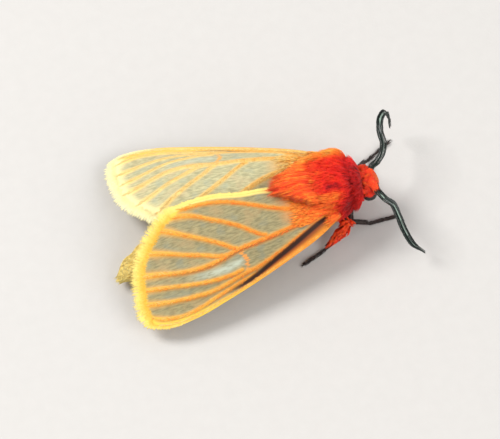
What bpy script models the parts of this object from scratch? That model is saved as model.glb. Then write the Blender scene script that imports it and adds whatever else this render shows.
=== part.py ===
"""A laterite matron, a hairy tiger moth, at rest with its wings folded low over its back.

It is drawn in millimetres, x towards the head, y to the moth's left and z up from the floor, and
stored in metres about the middle of its footprint. Each piece of the body is one closed solid.
"""

import math
import random

import bmesh
import bpy
import numpy as np
from mathutils import Vector

MM = 0.001
MIDDLE = Vector((-1.08, 0.0, 0.0))
GAP = 0.32
JOINT_GAP = 0.42
WING_GAP = 0.46
SEED = 9
RIGHT = -1
LEFT = 1
SIDE_NAMES = {RIGHT: "right", LEFT: "left"}

# Head
HEAD_CENTRE = Vector((9.2, 0.0, 3.85))
HEAD_RADII = (1.15, 1.2, 1.2)
HEAD_REAR_X = 8.3
EYE_RADII = (0.68, 0.544, 0.714)
EYE_PLACE = (9.42, 1.12, 3.6)
PALP_PATH = ((10.3, 0.46, 2.95), (10.65, 0.48, 3.2), (10.85, 0.48, 3.6))
PALP_RADII = (0.26, 0.28, 0.16)

# Thorax
THORAX_CENTRE = Vector((5.4, 0.0, 4.3))
THORAX_RADII = (3.0, 2.5, 2.2)
THORAX_COAT_CENTRE = Vector((5.2, 0.0, 4.5))
THORAX_COAT_RADII = (3.7, 3.5, 3.1)
THORAX_FRONT_X = 8.0
THORAX_REAR_X = 3.0

# Abdomen: where its middle line runs, and its radius there
ABDOMEN_LINE = (
    (3.3, 0.0, 3.8), (0.5, 0.1, 2.75), (-2.5, 0.3, 2.0), (-6.0, 0.15, 1.78), (-9.5, -0.7, 1.62),
    (-12.0, -1.85, 1.36), (-13.6, -2.65, 1.15), (-14.6, -3.15, 1.05),
)
ABDOMEN_FRONT_X = 2.68
ABDOMEN_RADII = (1.1, 1.5, 1.85, 1.82, 1.66, 1.38, 1.05, 0.5)
ABDOMEN_JOINTS = (0.26, 0.5, 0.76)
ABDOMEN_NAMES = ("abdomen_front", "abdomen_middle", "abdomen_rear", "abdomen_tip")
RING_DEPTH = 0.05
RINGS = 9

# Wings: the right one's hinge and the tilt of its plane, which the left one mirrors
HINGE = Vector((6.0, 2.69, 5.15))
LEFT_WING_DROP = 0.55
WING_SPREAD = math.radians(6.4)
WING_DROOP = math.radians(7.2)
WING_ROOF = math.radians(13.8)
WING_LENGTH = 20.5
WING_THICKNESS = 0.52
WING_TIP_THINNING = 0.7
VEIN_HEIGHT = 0.16
VEIN_HALF_WIDTH = 0.27
VEIN_RAMP = 1.2
HINDWING_BELOW = 1.05
WING_ROWS = 16
VAULT = 1.15
VAULT_ALONG = (
    (0.0, 0.0), (0.15, 0.7), (0.33, 1.1), (0.5, 1.15), (0.62, 1.05), (0.7, 0.9), (0.8, 0.5),
    (0.9, 0.15), (1.0, 0.0),
)
VAULT_ACROSS = {
    RIGHT: (
        (0.0, 0.0), (0.1, 0.12), (0.2, 0.5), (0.35, 0.9), (0.5, 1.0), (0.7, 1.12), (0.85, 1.15),
        (1.0, 1.08),
    ),
    LEFT: (
        (0.0, 0.0), (0.1, 0.12), (0.2, 0.5), (0.35, 0.9), (0.5, 1.0), (0.7, 1.08), (0.82, 0.9),
        (1.0, 0.2),
    ),
}

# A wing line is (distance along the wing where its ridge starts, its points). A point is (along
# the wing from the hinge, across it towards the hind edge).
NO_RIDGE = 99.0
FOREWING_LINES = (
    (0.0, (
        (0, -0.8), (2.5, -1.9), (5.5, -2.8), (9, -3.7), (12.5, -4.45), (15.5, -4.95), (17.5, -4.95),
        (19.2, -4.55), (20.35, -3.75),
    )),
    (9.0, (
        (0, -0.68), (3, -1.5), (6, -2.4), (9, -2.95), (10.7, -3.25), (13.5, -3.85), (15, -4.2),
        (17, -4.3), (18.6, -3.95), (20.55, -2.9),
    )),
    (0.0, (
        (0, -0.55), (2, -0.75), (3.9, -1.15), (5.6, -1.7), (7.3, -2.2), (8.5, -2.5), (10.5, -2.75),
        (12, -3.05), (13.6, -3.2), (15.1, -3.1), (17.3, -2.75), (20.5, -1.95),
    )),
    (10.2, (
        (0, -0.45), (3.6, -0.95), (6.5, -1.55), (9.3, -2.1), (10.2, -2.35), (12, -2.45),
        (13.6, -2.3), (15.3, -1.95), (17.1, -1.45), (20.2, -0.65),
    )),
    (10.0, (
        (0, -0.35), (3.6, -0.8), (6.5, -1.15), (9, -1.3), (10.2, -1.25), (11.3, -1.2), (12.3, -1.2),
        (14.4, -0.75), (16.3, -0.05), (18, 0.55), (19.75, 0.9),
    )),
    (0.0, (
        (0, -0.25), (3.6, -0.6), (6.5, -0.78), (9.3, -0.78), (10.4, -0.75), (11.5, -0.65),
        (13.1, 0.05), (14.6, 0.7), (16, 1.4), (18.7, 2.55),
    )),
    (10.0, (
        (0, -0.1), (3.6, -0.3), (6.5, -0.42), (9, -0.45), (10.15, -0.4), (11, 0.3), (12.75, 1.55),
        (14.2, 2.5), (15.5, 3.4), (16.9, 4.2),
    )),
    (7.1, (
        (0, 0.0), (3.6, 0.05), (6, -0.1), (7.25, -0.15), (8, 0.4), (8.8, 1.15), (10.3, 2.25),
        (11.5, 3.0), (12.6, 3.7), (13.8, 4.2), (16.1, 4.6),
    )),
    (0.0, (
        (0, 0.15), (1.2, 0.45), (3.2, 1.0), (4.5, 1.4), (5.8, 1.85), (7.5, 2.75), (9.5, 3.75),
        (11.5, 4.4), (13.3, 4.75), (15.4, 4.85),
    )),
)
HIND_EDGES = {
    RIGHT: (
        (0, 0.3), (1.5, 1.15), (3, 2.35), (4.5, 3.25), (6, 3.78), (7.7, 4.07), (10.5, 4.85),
        (13, 5.1), (14.8, 5.0),
    ),
    LEFT: (
        (0, 0.3), (1.5, 0.75), (3, 1.5), (4.5, 2.5), (6, 3.4), (7.7, 4.0), (10.5, 4.85), (13, 5.1),
        (14.8, 5.0),
    ),
}
HINDWING_LINES = (
    (0.0, ((1.8, -0.8), (5, -2.3), (9, -3.1), (13, -3.3), (15.2, -2.8), (16.4, -1.8))),
    (1.8, ((1.8, -0.4), (5, -1.2), (9, -1.4), (13, -1.3), (16.6, -0.8))),
    (1.8, ((1.8, 0.0), (5, 0.0), (9, 0.1), (13, 0.2), (16.2, 0.4))),
    (NO_RIDGE, ((1.8, 0.45), (3, 0.75), (6, 1.1), (9, 1.25), (12, 1.4), (14.6, 1.4))),
)

# Feelers, from the head out
ANTENNA_ROUTES = {
    RIGHT: (
        (9.85, -0.62, 4.8), (9.98, -1.3, 4.75), (10.47, -2.25, 4.5), (11.0, -3.12, 4.7),
        (11.27, -4.35, 4.5), (11.49, -5.41, 4.0), (12.03, -6.43, 2.9), (13.3, -6.78, 1.0),
    ),
    LEFT: (
        (9.8, 0.62, 4.8), (10.05, 1.0, 4.72), (10.6, 1.45, 4.6), (11.24, 2.04, 4.8), (11.61, 2.81, 5.2),
        (11.61, 4.0, 5.6), (11.91, 5.24, 5.6), (12.56, 6.21, 5.0), (13.02, 6.37, 3.8), (13.25, 6.27, 2.0),
    ),
}
ANTENNA_RADIUS = 0.27
ANTENNA_TIP_RADIUS = 0.12
ANTENNA_TAPER_START = 0.72
ANTENNA_NAMES = ("base", "middle", "tip")

# Legs: hip, knee, ankle and toe of each
LEG_POINTS = {
    ("fore", RIGHT): ((7.5, -1.25, 2.45), (7.35, -2.3, 1.35), (9.0, -2.35, 0.55), (11.9, -2.1, 0.24)),
    ("fore", LEFT): ((7.7, 1.3, 2.5), (9.0, 2.6, 1.9), (10.4, 4.05, 0.5), (13.3, 5.9, 0.24)),
    ("mid", RIGHT): ((6.2, -1.45, 2.15), (6.95, -3.0, 2.15), (4.7, -4.0, 0.5), (2.1, -5.2, 0.24)),
    ("mid", LEFT): ((6.2, 1.45, 2.15), (6.75, 3.05, 2.15), (4.6, 4.2, 0.5), (2.0, 5.4, 0.24)),
    ("hind", RIGHT): ((4.3, -1.25, 2.3), (3.7, -3.0, 2.2), (0.3, -4.0, 0.5), (-3.3, -4.7, 0.24)),
    ("hind", LEFT): ((4.3, 1.25, 2.3), (3.7, 3.05, 2.2), (0.2, 4.2, 0.5), (-3.4, 4.9, 0.24)),
}
FEMUR_RADII = (0.42, 0.34)
TIBIA_RADII = (0.31, 0.27)
TARSUS_RADII = (0.27, 0.2)
HAIRY_PAIR = "mid"

# Coat: locks of hair, each with its root under the skin and its tip on the coat's own outline.
# LOCK_RISE is how far a lock has risen from the skin to the coat's outline at each LOCK_STEPS.
LOCK_THICKNESS = 0.52
LOCK_STEPS = (0.0, 0.3, 0.65, 1.0)
LOCK_RISE = (-0.3, 0.5, 0.85, 1.0)
THORAX_ROWS = (7.8, 7.0, 6.15, 5.3, 4.45, 3.7)
THORAX_LOCKS_ROUND = 12
THORAX_LOCK = (1.9, 1.35)
THORAX_LOWEST_TURN = math.radians(128)
COLLAR_LOCKS = 11
COLLAR_SWEEP = math.radians(125)
COLLAR_WIDTH = 1.05
COLLAR_PATH = ((7.3, 1.0), (7.75, 1.75), (8.1, 2.35), (8.5, 2.8))
COLLAR_LEAN = Vector((-1.0, 0.0, 0.0))
TUFT_LOCKS = 11
TUFT_WIDTH = 1.15
TUFT_ROOT = Vector((4.2, 0.0, 5.85))
TUFT_TIP = Vector((-0.3, -0.3, 7.15))
TUFT_HALF_ROOT = Vector((-0.2, 2.0, -0.25))
TUFT_HALF_TIP = Vector((2.3, 2.4, -0.35))
TUFT_ARCH = (0.0, 0.75, 0.5, 0.0)
HEAD_COAT_RADII = (1.3, 1.5, 1.5)
HEAD_ROWS = (8.5, 9.0, 9.5)
HEAD_LOCKS_ROUND = 8
HEAD_LOCK = (0.95, 0.72)
TAIL_ROWS = ((0.55, 2.0), (0.8, 1.75), (0.96, 1.2))
TAIL_LOCKS_ROUND = 6
TAIL_WIDTH = 0.72
TAIL_SPREAD = (-0.25, 0.12, 0.0, -0.45)
LEG_LOCK = (0.95, 0.5)
LEG_ROWS = (0.2, 0.45, 0.7)
LEG_TURNS = (math.radians(-38), math.radians(38))
LEG_SPREAD = (-0.18, 0.12, 0.24, 0.22)
FLOOR_CLEARANCE = 0.12

ROUGHNESS = 0.6
COLOURS = {
    "head": (0.70, 0.07, 0.02),
    "eye": (0.02, 0.015, 0.012),
    "palp": (0.5, 0.06, 0.03),
    "antenna": (0.02, 0.03, 0.025),
    "thorax": (0.62, 0.045, 0.02),
    "abdomen": (0.80, 0.42, 0.08),
    "forewing": (0.55, 0.42, 0.18),
    "hindwing": (0.62, 0.46, 0.2),
    "leg": (0.03, 0.02, 0.02),
}


def clear_scene():
    for thing in list(bpy.data.objects):
        bpy.data.objects.remove(thing)


def collection_named(name):
    made = bpy.data.collections.new(name)
    bpy.context.scene.collection.children.link(made)
    return made


def stored(point):
    """A point in drawing millimetres as the metres that the mesh stores."""
    return (Vector(point) - MIDDLE) * MM


def material_for(name, kind):
    made = bpy.data.materials.new(name)
    made.use_nodes = True
    shader = made.node_tree.nodes["Principled BSDF"]
    shader.inputs["Base Color"].default_value = (*COLOURS[kind], 1.0)
    shader.inputs["Roughness"].default_value = ROUGHNESS
    shader.inputs["Metallic"].default_value = 0.0
    made.diffuse_color = (*COLOURS[kind], 1.0)
    return made


def object_from(bm, name, collection, kind=None):
    mesh = bpy.data.meshes.new(name)
    bm.to_mesh(mesh)
    bm.free()
    made = bpy.data.objects.new(name, mesh)
    collection.objects.link(made)
    if kind:
        mesh.materials.append(material_for(name, kind))
    return made


def curve_through(points, places):
    """The smooth curve through (x, y) points, read at each of the places."""
    known, values = np.array(points, float).T
    slope = np.gradient(values, known)
    k = np.clip(np.searchsorted(known, places) - 1, 0, len(known) - 2)
    step = known[k + 1] - known[k]
    t = (places - known[k]) / step
    start = (1 + 2 * t) * (1 - t) ** 2 * values[k] + t * (1 - t) ** 2 * step * slope[k]
    end = t * t * (3 - 2 * t) * values[k + 1] + t * t * (t - 1) * step * slope[k + 1]
    return start + end


def smooth_path(points, count, first=0.0, last=1.0):
    """Evenly spaced points on the smooth curve through some, between two shares of its length."""
    points = np.array(points, float)
    run = np.concatenate([[0], np.cumsum(np.linalg.norm(np.diff(points, axis=0), axis=1))])
    places = np.linspace(first, last, count) * run[-1]
    return np.array([curve_through(np.stack([run, axis], 1), places) for axis in points.T]).T


def tube(name, path, radii, collection, kind, sides_step=2):
    """A round tube along a path, with flat ends, as a mesh."""
    curve = bpy.data.curves.new(name, "CURVE")
    curve.dimensions = "3D"
    curve.bevel_depth = MM
    curve.bevel_resolution = sides_step
    curve.use_fill_caps = True
    spline = curve.splines.new("POLY")
    spline.points.add(len(path) - 1)
    for spot, place, radius in zip(spline.points, path, radii):
        spot.co = (*stored(place), 1.0)
        spot.radius = radius
    drawn = bpy.data.objects.new(name + "_curve", curve)
    collection.objects.link(drawn)
    bpy.context.view_layer.update()
    graph = bpy.context.evaluated_depsgraph_get()
    mesh = bpy.data.meshes.new_from_object(drawn.evaluated_get(graph))
    bm = bmesh.new()
    bm.from_mesh(mesh)
    bmesh.ops.remove_doubles(bm, verts=bm.verts, dist=1e-7)
    bmesh.ops.recalc_face_normals(bm, faces=bm.faces)
    bpy.data.objects.remove(drawn)
    bpy.data.meshes.remove(mesh)
    return object_from(bm, name, collection, kind)


def ellipsoid(name, centre, radii, collection, kind=None, segments=20, rings=12):
    bm = bmesh.new()
    bmesh.ops.create_uvsphere(bm, u_segments=segments, v_segments=rings, radius=1.0)
    for vert in bm.verts:
        vert.co = stored(Vector(centre) + Vector([r * c for r, c in zip(radii, vert.co)]))
    return object_from(bm, name, collection, kind)


def slice_flat(made, point, normal):
    """Cuts off what lies past a plane, and closes the cut with a flat face."""
    bm = bmesh.new()
    bm.from_mesh(made.data)
    everything = bm.verts[:] + bm.edges[:] + bm.faces[:]
    cut = bmesh.ops.bisect_plane(
        bm, geom=everything, plane_co=stored(point), plane_no=normal, clear_outer=True
    )
    rim = [edge for edge in cut["geom_cut"] if isinstance(edge, bmesh.types.BMEdge)]
    bmesh.ops.holes_fill(bm, edges=rim)
    bmesh.ops.recalc_face_normals(bm, faces=bm.faces)
    bm.to_mesh(made.data)
    bm.free()


def combine(made, operation, others, solver="EXACT"):
    """Joins or cuts a mesh with every object of a collection, and applies it."""
    modifier = made.modifiers.new(operation.title(), "BOOLEAN")
    modifier.operation = operation
    modifier.operand_type = "COLLECTION"
    modifier.collection = others
    modifier.solver = solver
    bpy.context.view_layer.objects.active = made
    bpy.ops.object.modifier_apply(modifier=modifier.name)


def keep_largest(made):
    """Drops every loose scrap and sealed hollow, and leaves the largest closed surface."""
    bm = bmesh.new()
    bm.from_mesh(made.data)
    left = set(bm.faces)
    shells = []
    while left:
        reached = {left.pop()}
        edge_of = list(reached)
        while edge_of:
            for edge in edge_of.pop().edges:
                for face in edge.link_faces:
                    if face not in reached:
                        reached.add(face)
                        edge_of.append(face)
        left -= reached
        shells.append(reached)
    shells.sort(key=lambda shell: sum(face.calc_area() for face in shell))
    scraps = [face for shell in shells[:-1] for face in shell]
    bmesh.ops.delete(bm, geom=scraps, context="FACES")
    bmesh.ops.triangulate(bm, faces=bm.faces)
    bm.to_mesh(made.data)
    bm.free()


def emptied(collection):
    for thing in list(collection.objects):
        bpy.data.objects.remove(thing)


def wing_frame(side):
    """The wing's hinge, its direction towards the tip, across to the hind edge, and up."""
    along = Vector((
        -math.cos(WING_SPREAD) * math.cos(WING_DROOP),
        side * math.sin(WING_SPREAD) * math.cos(WING_DROOP),
        -math.sin(WING_DROOP),
    ))
    level = Vector((-math.sin(WING_SPREAD), -side * math.cos(WING_SPREAD), 0.0))
    steep = (Vector((0, 0, 1)) - along * along.z).normalized()
    across = level * math.cos(WING_ROOF) + steep * math.sin(WING_ROOF)
    up = across.cross(along) * (1 if across.cross(along).z > 0 else -1)
    hinge = Vector((HINGE.x, side * HINGE.y, HINGE.z - (LEFT_WING_DROP if side == LEFT else 0.0)))
    return hinge, along, across, up.normalized()


def wing_columns(lines, share):
    """Points across the wing at one share of its length, each (along, across, ridge)."""
    spots = []
    for start, points in lines:
        first, last = points[0][0], points[-1][0]
        along = first + share * (last - first)
        across = float(curve_through(points, np.array([along]))[0])
        spots.append((along, across, min(1.0, max(0.0, (along - start) / VEIN_RAMP))))
    columns = []
    for k, (along, across, ridge) in enumerate(spots):
        room = [abs(across - spots[j][1]) for j in (k - 1, k + 1) if 0 <= j < len(spots)]
        foot = min(VEIN_HALF_WIDTH, 0.3 * min(room))
        if k:
            columns.append((along, across - foot, 0.0))
        columns.append((along, across, ridge))
        if k < len(spots) - 1:
            columns.append((along, across + foot, 0.0))
            nearby = spots[k + 1]
            columns.append(((along + nearby[0]) / 2, (across + nearby[1]) / 2, 0.0))
    return columns


def wing(name, side, lines, collection, kind=None, sunk=0.0, grow=0.0):
    """A vaulted wing with its veins raised. It is grown all round by some, to cut room for it."""
    hinge, along_way, across_way, up = wing_frame(side)
    shares = np.linspace(0, 1, WING_ROWS)
    layers = []
    for share in shares:
        columns = wing_columns(lines, share)
        first, last = columns[0][1], columns[-1][1]
        row = []
        for along, across, ridge in columns:
            q = np.array([(across - first) / (last - first)])
            rise = VAULT * float(curve_through(VAULT_ALONG, np.array([along / WING_LENGTH]))[0])
            rise *= float(curve_through(VAULT_ACROSS[side], q)[0])
            middle = hinge + along_way * along + across_way * across + up * (rise - sunk)
            out = Vector((0, 0, 0))
            if grow:
                out = along_way * (grow if share == 1 else -grow if share == 0 else 0)
                out += across_way * (grow if q[0] == 1 else -grow if q[0] == 0 else 0)
            half = WING_THICKNESS / 2 * (WING_TIP_THINNING if share == 1 else 1.0) + grow
            top = middle + out + up * (half + VEIN_HEIGHT * ridge)
            row.append((top, middle + out - up * half))
        layers.append(row)
    bm = bmesh.new()
    tops = [[bm.verts.new(stored(top)) for top, _ in row] for row in layers]
    lows = [[bm.verts.new(stored(low)) for _, low in row] for row in layers]
    rows, columns = len(tops), len(tops[0])
    for i in range(rows - 1):
        for j in range(columns - 1):
            for grid in (tops, lows):
                bm.faces.new((grid[i][j], grid[i][j + 1], grid[i + 1][j + 1]))
                bm.faces.new((grid[i][j], grid[i + 1][j + 1], grid[i + 1][j]))
    rim = [(0, j) for j in range(columns)] + [(i, columns - 1) for i in range(1, rows)]
    rim += [(rows - 1, j) for j in range(columns - 2, -1, -1)] + [(i, 0) for i in range(rows - 2, 0, -1)]
    for (a, b), (c, d) in zip(rim, rim[1:] + rim[:1]):
        bm.faces.new((tops[a][b], tops[c][d], lows[c][d]))
        bm.faces.new((tops[a][b], lows[c][d], lows[a][b]))
    bmesh.ops.recalc_face_normals(bm, faces=bm.faces)
    return object_from(bm, name, collection, kind)


def lock(path, width, thickness, out, collection):
    """A flat lock of hair: lozenge sections along a bent path that narrow to its tip."""
    bm = bmesh.new()
    path = [Vector(point) for point in path]
    rings = []
    for k, point in enumerate(path[:-1]):
        way = (path[k + 1] - path[max(k - 1, 0)]).normalized()
        flat = way.cross(out).normalized()
        thick = flat.cross(way).normalized()
        share = k / (len(path) - 1)
        half = width / 2 * (0.8 + 0.9 * share - 1.45 * share * share)
        deep = thickness / 2 * (1 - 0.55 * share)
        rings.append([
            bm.verts.new(stored(point + side))
            for side in (flat * half, thick * deep, -flat * half, -thick * deep)
        ])
    tip = bm.verts.new(stored(path[-1]))
    for ring, after in zip(rings, rings[1:]):
        for k in range(4):
            bm.faces.new((ring[k], ring[(k + 1) % 4], after[(k + 1) % 4], after[k]))
    for k in range(4):
        bm.faces.new((rings[-1][k], rings[-1][(k + 1) % 4], tip))
    bm.faces.new(rings[0])
    bmesh.ops.recalc_face_normals(bm, faces=bm.faces)
    return object_from(bm, "lock", collection)


def forewing_lines(side):
    return (*FOREWING_LINES, (NO_RIDGE, HIND_EDGES[side]))


def build_wings(parts):
    for side in (RIGHT, LEFT):
        name = SIDE_NAMES[side]
        wing(f"forewing_{name}", side, forewing_lines(side), parts, "forewing")
        wing(f"hindwing_{name}", side, HINDWING_LINES, parts, "hindwing", sunk=HINDWING_BELOW)


def vary(amount):
    return 1 + random.uniform(-amount, amount)


def shell_point(skin, coat, x, turn, rise):
    """A point between two egg shapes, each (centre, radii), at one x and one turn from the top."""
    centre = skin[0].lerp(coat[0], rise)
    radii = [a + (b - a) * rise for a, b in zip(skin[1], coat[1])]
    reach = math.sqrt(max(0.03, 1 - ((x - centre.x) / radii[0]) ** 2))
    across = centre.y + radii[1] * reach * math.sin(turn)
    return Vector((x, across, centre.z + radii[2] * reach * math.cos(turn)))


def coat_lock(skin, coat, x, turn, length, width, hair):
    """A lock that lies along the body from its root at one place of the skin."""
    swirl = random.uniform(-0.12, 0.12)
    path = []
    for step, rise in zip(LOCK_STEPS, LOCK_RISE):
        path.append(shell_point(skin, coat, x - length * step, turn + swirl * step, rise))
    lock(path, width, LOCK_THICKNESS, Vector((0, math.sin(turn), math.cos(turn))), hair)


def coat_rows(skin, coat, rows, locks_round, size, lowest, hair):
    """Rows of locks round a body, each row set half a lock round from the one before."""
    length, width = size
    for row, x in enumerate(rows):
        for k in range(locks_round):
            turn = (k + 0.5 * (row % 2)) / locks_round * 2 * math.pi + random.uniform(-0.06, 0.06)
            if abs(math.remainder(turn, 2 * math.pi)) < lowest:
                coat_lock(skin, coat, x, turn, length * vary(0.14), width * vary(0.12), hair)


def collar(hair):
    """The ruff behind the head, whose locks stand out and a little forwards."""
    for k in range(COLLAR_LOCKS):
        turn = COLLAR_SWEEP * (2 * k / (COLLAR_LOCKS - 1) - 1) + random.uniform(-0.05, 0.05)
        out = Vector((0, math.sin(turn), math.cos(turn)))
        size = vary(0.05)
        path = [Vector((x, 0, THORAX_CENTRE.z)) + out * radius * size for x, radius in COLLAR_PATH]
        lock(path, COLLAR_WIDTH, LOCK_THICKNESS, COLLAR_LEAN + out * 0.4, hair)


def rear_tuft(hair):
    """Long locks from the back of the thorax that lie over the folded wings."""
    for k in range(TUFT_LOCKS):
        across = 2 * k / (TUFT_LOCKS - 1) - 1
        back = abs(across) ** 1.5
        fan = Vector((back, across, across * across))
        root = TUFT_ROOT + Vector([a * b for a, b in zip(fan, TUFT_HALF_ROOT)])
        tip = TUFT_TIP + Vector([a * b for a, b in zip(fan, TUFT_HALF_TIP)])
        tip.x += random.uniform(-0.35, 0.35)
        path = [root.lerp(tip, step) for step in LOCK_STEPS]
        for point, arch in zip(path, TUFT_ARCH):
            point.z += arch * vary(0.25)
        lock(path, TUFT_WIDTH * vary(0.1), LOCK_THICKNESS, Vector((0, 0.2 * across, 1)), hair)


def coated(made, hair):
    """Fuses the locks of a collection with the piece under them, and clears them away."""
    combine(made, "UNION", hair)
    emptied(hair)
    keep_largest(made)


def build_thorax(parts):
    thorax = ellipsoid("thorax", THORAX_CENTRE, THORAX_RADII, parts, "thorax")
    slice_flat(thorax, (THORAX_FRONT_X, 0, 0), (1, 0, 0))
    slice_flat(thorax, (THORAX_REAR_X, 0, 0), (-1, 0, 0))
    hair = collection_named("thorax_hair")
    skin, coat = (THORAX_CENTRE, THORAX_RADII), (THORAX_COAT_CENTRE, THORAX_COAT_RADII)
    coat_rows(skin, coat, THORAX_ROWS, THORAX_LOCKS_ROUND, THORAX_LOCK, THORAX_LOWEST_TURN, hair)
    collar(hair)
    rear_tuft(hair)
    coated(thorax, hair)
    room = collection_named("room_round_the_thorax")
    for side in (RIGHT, LEFT):
        wing("room", side, forewing_lines(side), room, grow=WING_GAP)
        wing("room", side, HINDWING_LINES, room, sunk=HINDWING_BELOW, grow=WING_GAP)
    for pair, side in LEG_POINTS:
        femur(pair, side, room, None, GAP)
    head_room(room)
    abdomen_length(0, room, None, GAP)
    combine(thorax, "DIFFERENCE", room)
    emptied(room)
    keep_largest(thorax)


def palp(side, collection, kind="palp", grow=0.0):
    route = [(x, side * y, z) for x, y, z in PALP_PATH]
    path = smooth_path(route, 5)
    path[0] += (path[0] - path[1]) / np.linalg.norm(path[0] - path[1]) * grow
    radii = np.interp(np.linspace(0, 2, 5), (0, 1, 2), PALP_RADII) + grow
    return tube(f"palp_{SIDE_NAMES[side]}", path, radii, collection, kind)


def head_room(room):
    """What the thorax coat keeps clear of: the head with its own coat, and the feelers."""
    ellipsoid("room", HEAD_CENTRE, [r + GAP for r in HEAD_COAT_RADII], room, None, 18, 12)
    for side in (RIGHT, LEFT):
        antenna_length(side, 0, room, None, GAP)


def build_head(parts):
    head = ellipsoid("head", HEAD_CENTRE, HEAD_RADII, parts, "head", 18, 12)
    hair = collection_named("head_hair")
    skin, coat = (HEAD_CENTRE, HEAD_RADII), (HEAD_CENTRE, HEAD_COAT_RADII)
    length, width = HEAD_LOCK
    coat_rows(skin, coat, HEAD_ROWS, HEAD_LOCKS_ROUND, (-length, width), math.pi, hair)
    coated(head, hair)
    slice_flat(head, (HEAD_REAR_X, 0, 0), (-1, 0, 0))
    room = collection_named("room_in_the_head")
    for side in (RIGHT, LEFT):
        x, y, z = EYE_PLACE
        ellipsoid(f"eye_{SIDE_NAMES[side]}", (x, side * y, z), EYE_RADII, parts, "eye", 16, 10)
        ellipsoid("room", (x, side * y, z), [r + GAP for r in EYE_RADII], room, None, 16, 10)
        antenna_length(side, 0, room, None, GAP)
        palp(side, parts)
        palp(side, room, None, GAP)
    combine(head, "DIFFERENCE", room)
    emptied(room)
    keep_largest(head)


def antenna_length(side, k, collection, kind="antenna", grow=0.0):
    """One of the lengths that a feeler is made of, grown by some to cut room for it."""
    route = ANTENNA_ROUTES[side]
    length = np.linalg.norm(np.diff(np.array(route), axis=0), axis=1).sum()
    parted = JOINT_GAP / 2 / length
    lengths = len(ANTENNA_NAMES)
    first = k / lengths + (parted if k else 0)
    last = (k + 1) / lengths - (parted if k < lengths - 1 else 0)
    places = np.linspace(first, last, 6)
    tip = np.clip((places - ANTENNA_TAPER_START) / (1 - ANTENNA_TAPER_START), 0, 1) ** 1.5
    radii = ANTENNA_RADIUS - (ANTENNA_RADIUS - ANTENNA_TIP_RADIUS) * tip + grow
    name = f"antenna_{SIDE_NAMES[side]}_{ANTENNA_NAMES[k]}"
    return tube(name, smooth_path(route, 6, first - grow / length, last), radii, collection, kind)


def build_antennae(parts):
    for side in ANTENNA_ROUTES:
        for k in range(len(ANTENNA_NAMES)):
            antenna_length(side, k, parts)


def abdomen_length(k, collection, kind="abdomen", grow=0.0):
    """One of the lengths that the abdomen is made of, grown by some to cut room for it."""
    steps = np.linalg.norm(np.diff(np.array(ABDOMEN_LINE), axis=0), axis=1)
    run = np.concatenate([[0], np.cumsum(steps)])
    length = run[-1]
    known = np.stack([run / length, ABDOMEN_RADII], 1)
    edges = (0.0, *ABDOMEN_JOINTS, 1.0)
    first = edges[k] + (JOINT_GAP / 2 / length if k else 0)
    last = edges[k + 1] - (JOINT_GAP / 2 / length if edges[k + 1] < 1 else 0)
    places = np.linspace(first, last, 9)
    radii = curve_through(known, places) * (1 - RING_DEPTH * np.cos(places * RINGS * 2 * np.pi)) + grow
    path = smooth_path(ABDOMEN_LINE, len(places), first, last)
    made = tube(ABDOMEN_NAMES[k], path, radii, collection, kind, 5)
    if not k:
        slice_flat(made, (ABDOMEN_FRONT_X + grow, 0, 0), (1, 0, 0))
    return made


def tail_hair(hair):
    """The brush of hair that runs past the end of the abdomen."""
    steps = np.linalg.norm(np.diff(np.array(ABDOMEN_LINE), axis=0), axis=1)
    run = np.concatenate([[0], np.cumsum(steps)]) / steps.sum()
    up = Vector((0, 0, 1))
    lowest = LOCK_THICKNESS / 2 + FLOOR_CLEARANCE
    for row, (place, length) in enumerate(TAIL_ROWS):
        share = ABDOMEN_JOINTS[-1] + place * (1 - ABDOMEN_JOINTS[-1])
        before, centre = (Vector(p) for p in smooth_path(ABDOMEN_LINE, 2, share - 0.03, share))
        way = (centre - before).normalized()
        radius = float(np.interp(share, run, ABDOMEN_RADII))
        side = way.cross(up).normalized()
        for k in range(TAIL_LOCKS_ROUND):
            turn = (k + 0.5 * (row % 2)) / TAIL_LOCKS_ROUND * 2 * math.pi
            out = side * math.sin(turn) + up * math.cos(turn)
            reach = length * vary(0.12)
            path = []
            for step, spread in zip(LOCK_STEPS, TAIL_SPREAD):
                point = centre + way * reach * step + out * (radius + spread)
                point.z = max(point.z, lowest)
                path.append(point)
            lock(path, TAIL_WIDTH * vary(0.1), LOCK_THICKNESS, out, hair)


def build_abdomen(parts):
    for k, name in enumerate(ABDOMEN_NAMES):
        made = abdomen_length(k, parts)
        if name == "abdomen_tip":
            hair = collection_named("tail_hair")
            tail_hair(hair)
            coated(made, hair)
        slice_flat(made, (0, 0, 0), (0, 0, -1))


def joint_trim(before, joint, after, radius):
    """How far two round pieces stop short of the joint between them to keep the gap."""
    bend = (Vector(joint) - Vector(before)).angle(Vector(after) - Vector(joint)) / 2
    return (GAP / 2 + radius * math.sin(bend)) / math.cos(bend)


def leg_piece(name, start, end, radii, trim, collection, kind="leg", grow=0.0):
    """One straight piece of a leg, cut short at each end for the gap to the next."""
    start, end = Vector(start), Vector(end)
    way = (end - start).normalized()
    start, end = start + way * (trim[0] - grow), end - way * (trim[1] - grow)
    shares = (0, 0.25, 0.75, 1)
    path = [start.lerp(end, share) for share in shares]
    return tube(name, path, np.interp(shares, (0, 1), radii) + grow, collection, kind)


def femur(pair, side, collection, kind="leg", grow=0.0):
    hip, knee, ankle, _ = LEG_POINTS[pair, side]
    trim = joint_trim(hip, knee, ankle, FEMUR_RADII[1])
    name = f"{pair}leg_{SIDE_NAMES[side]}_femur"
    return leg_piece(name, hip, knee, FEMUR_RADII, (0, trim), collection, kind, grow)


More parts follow.
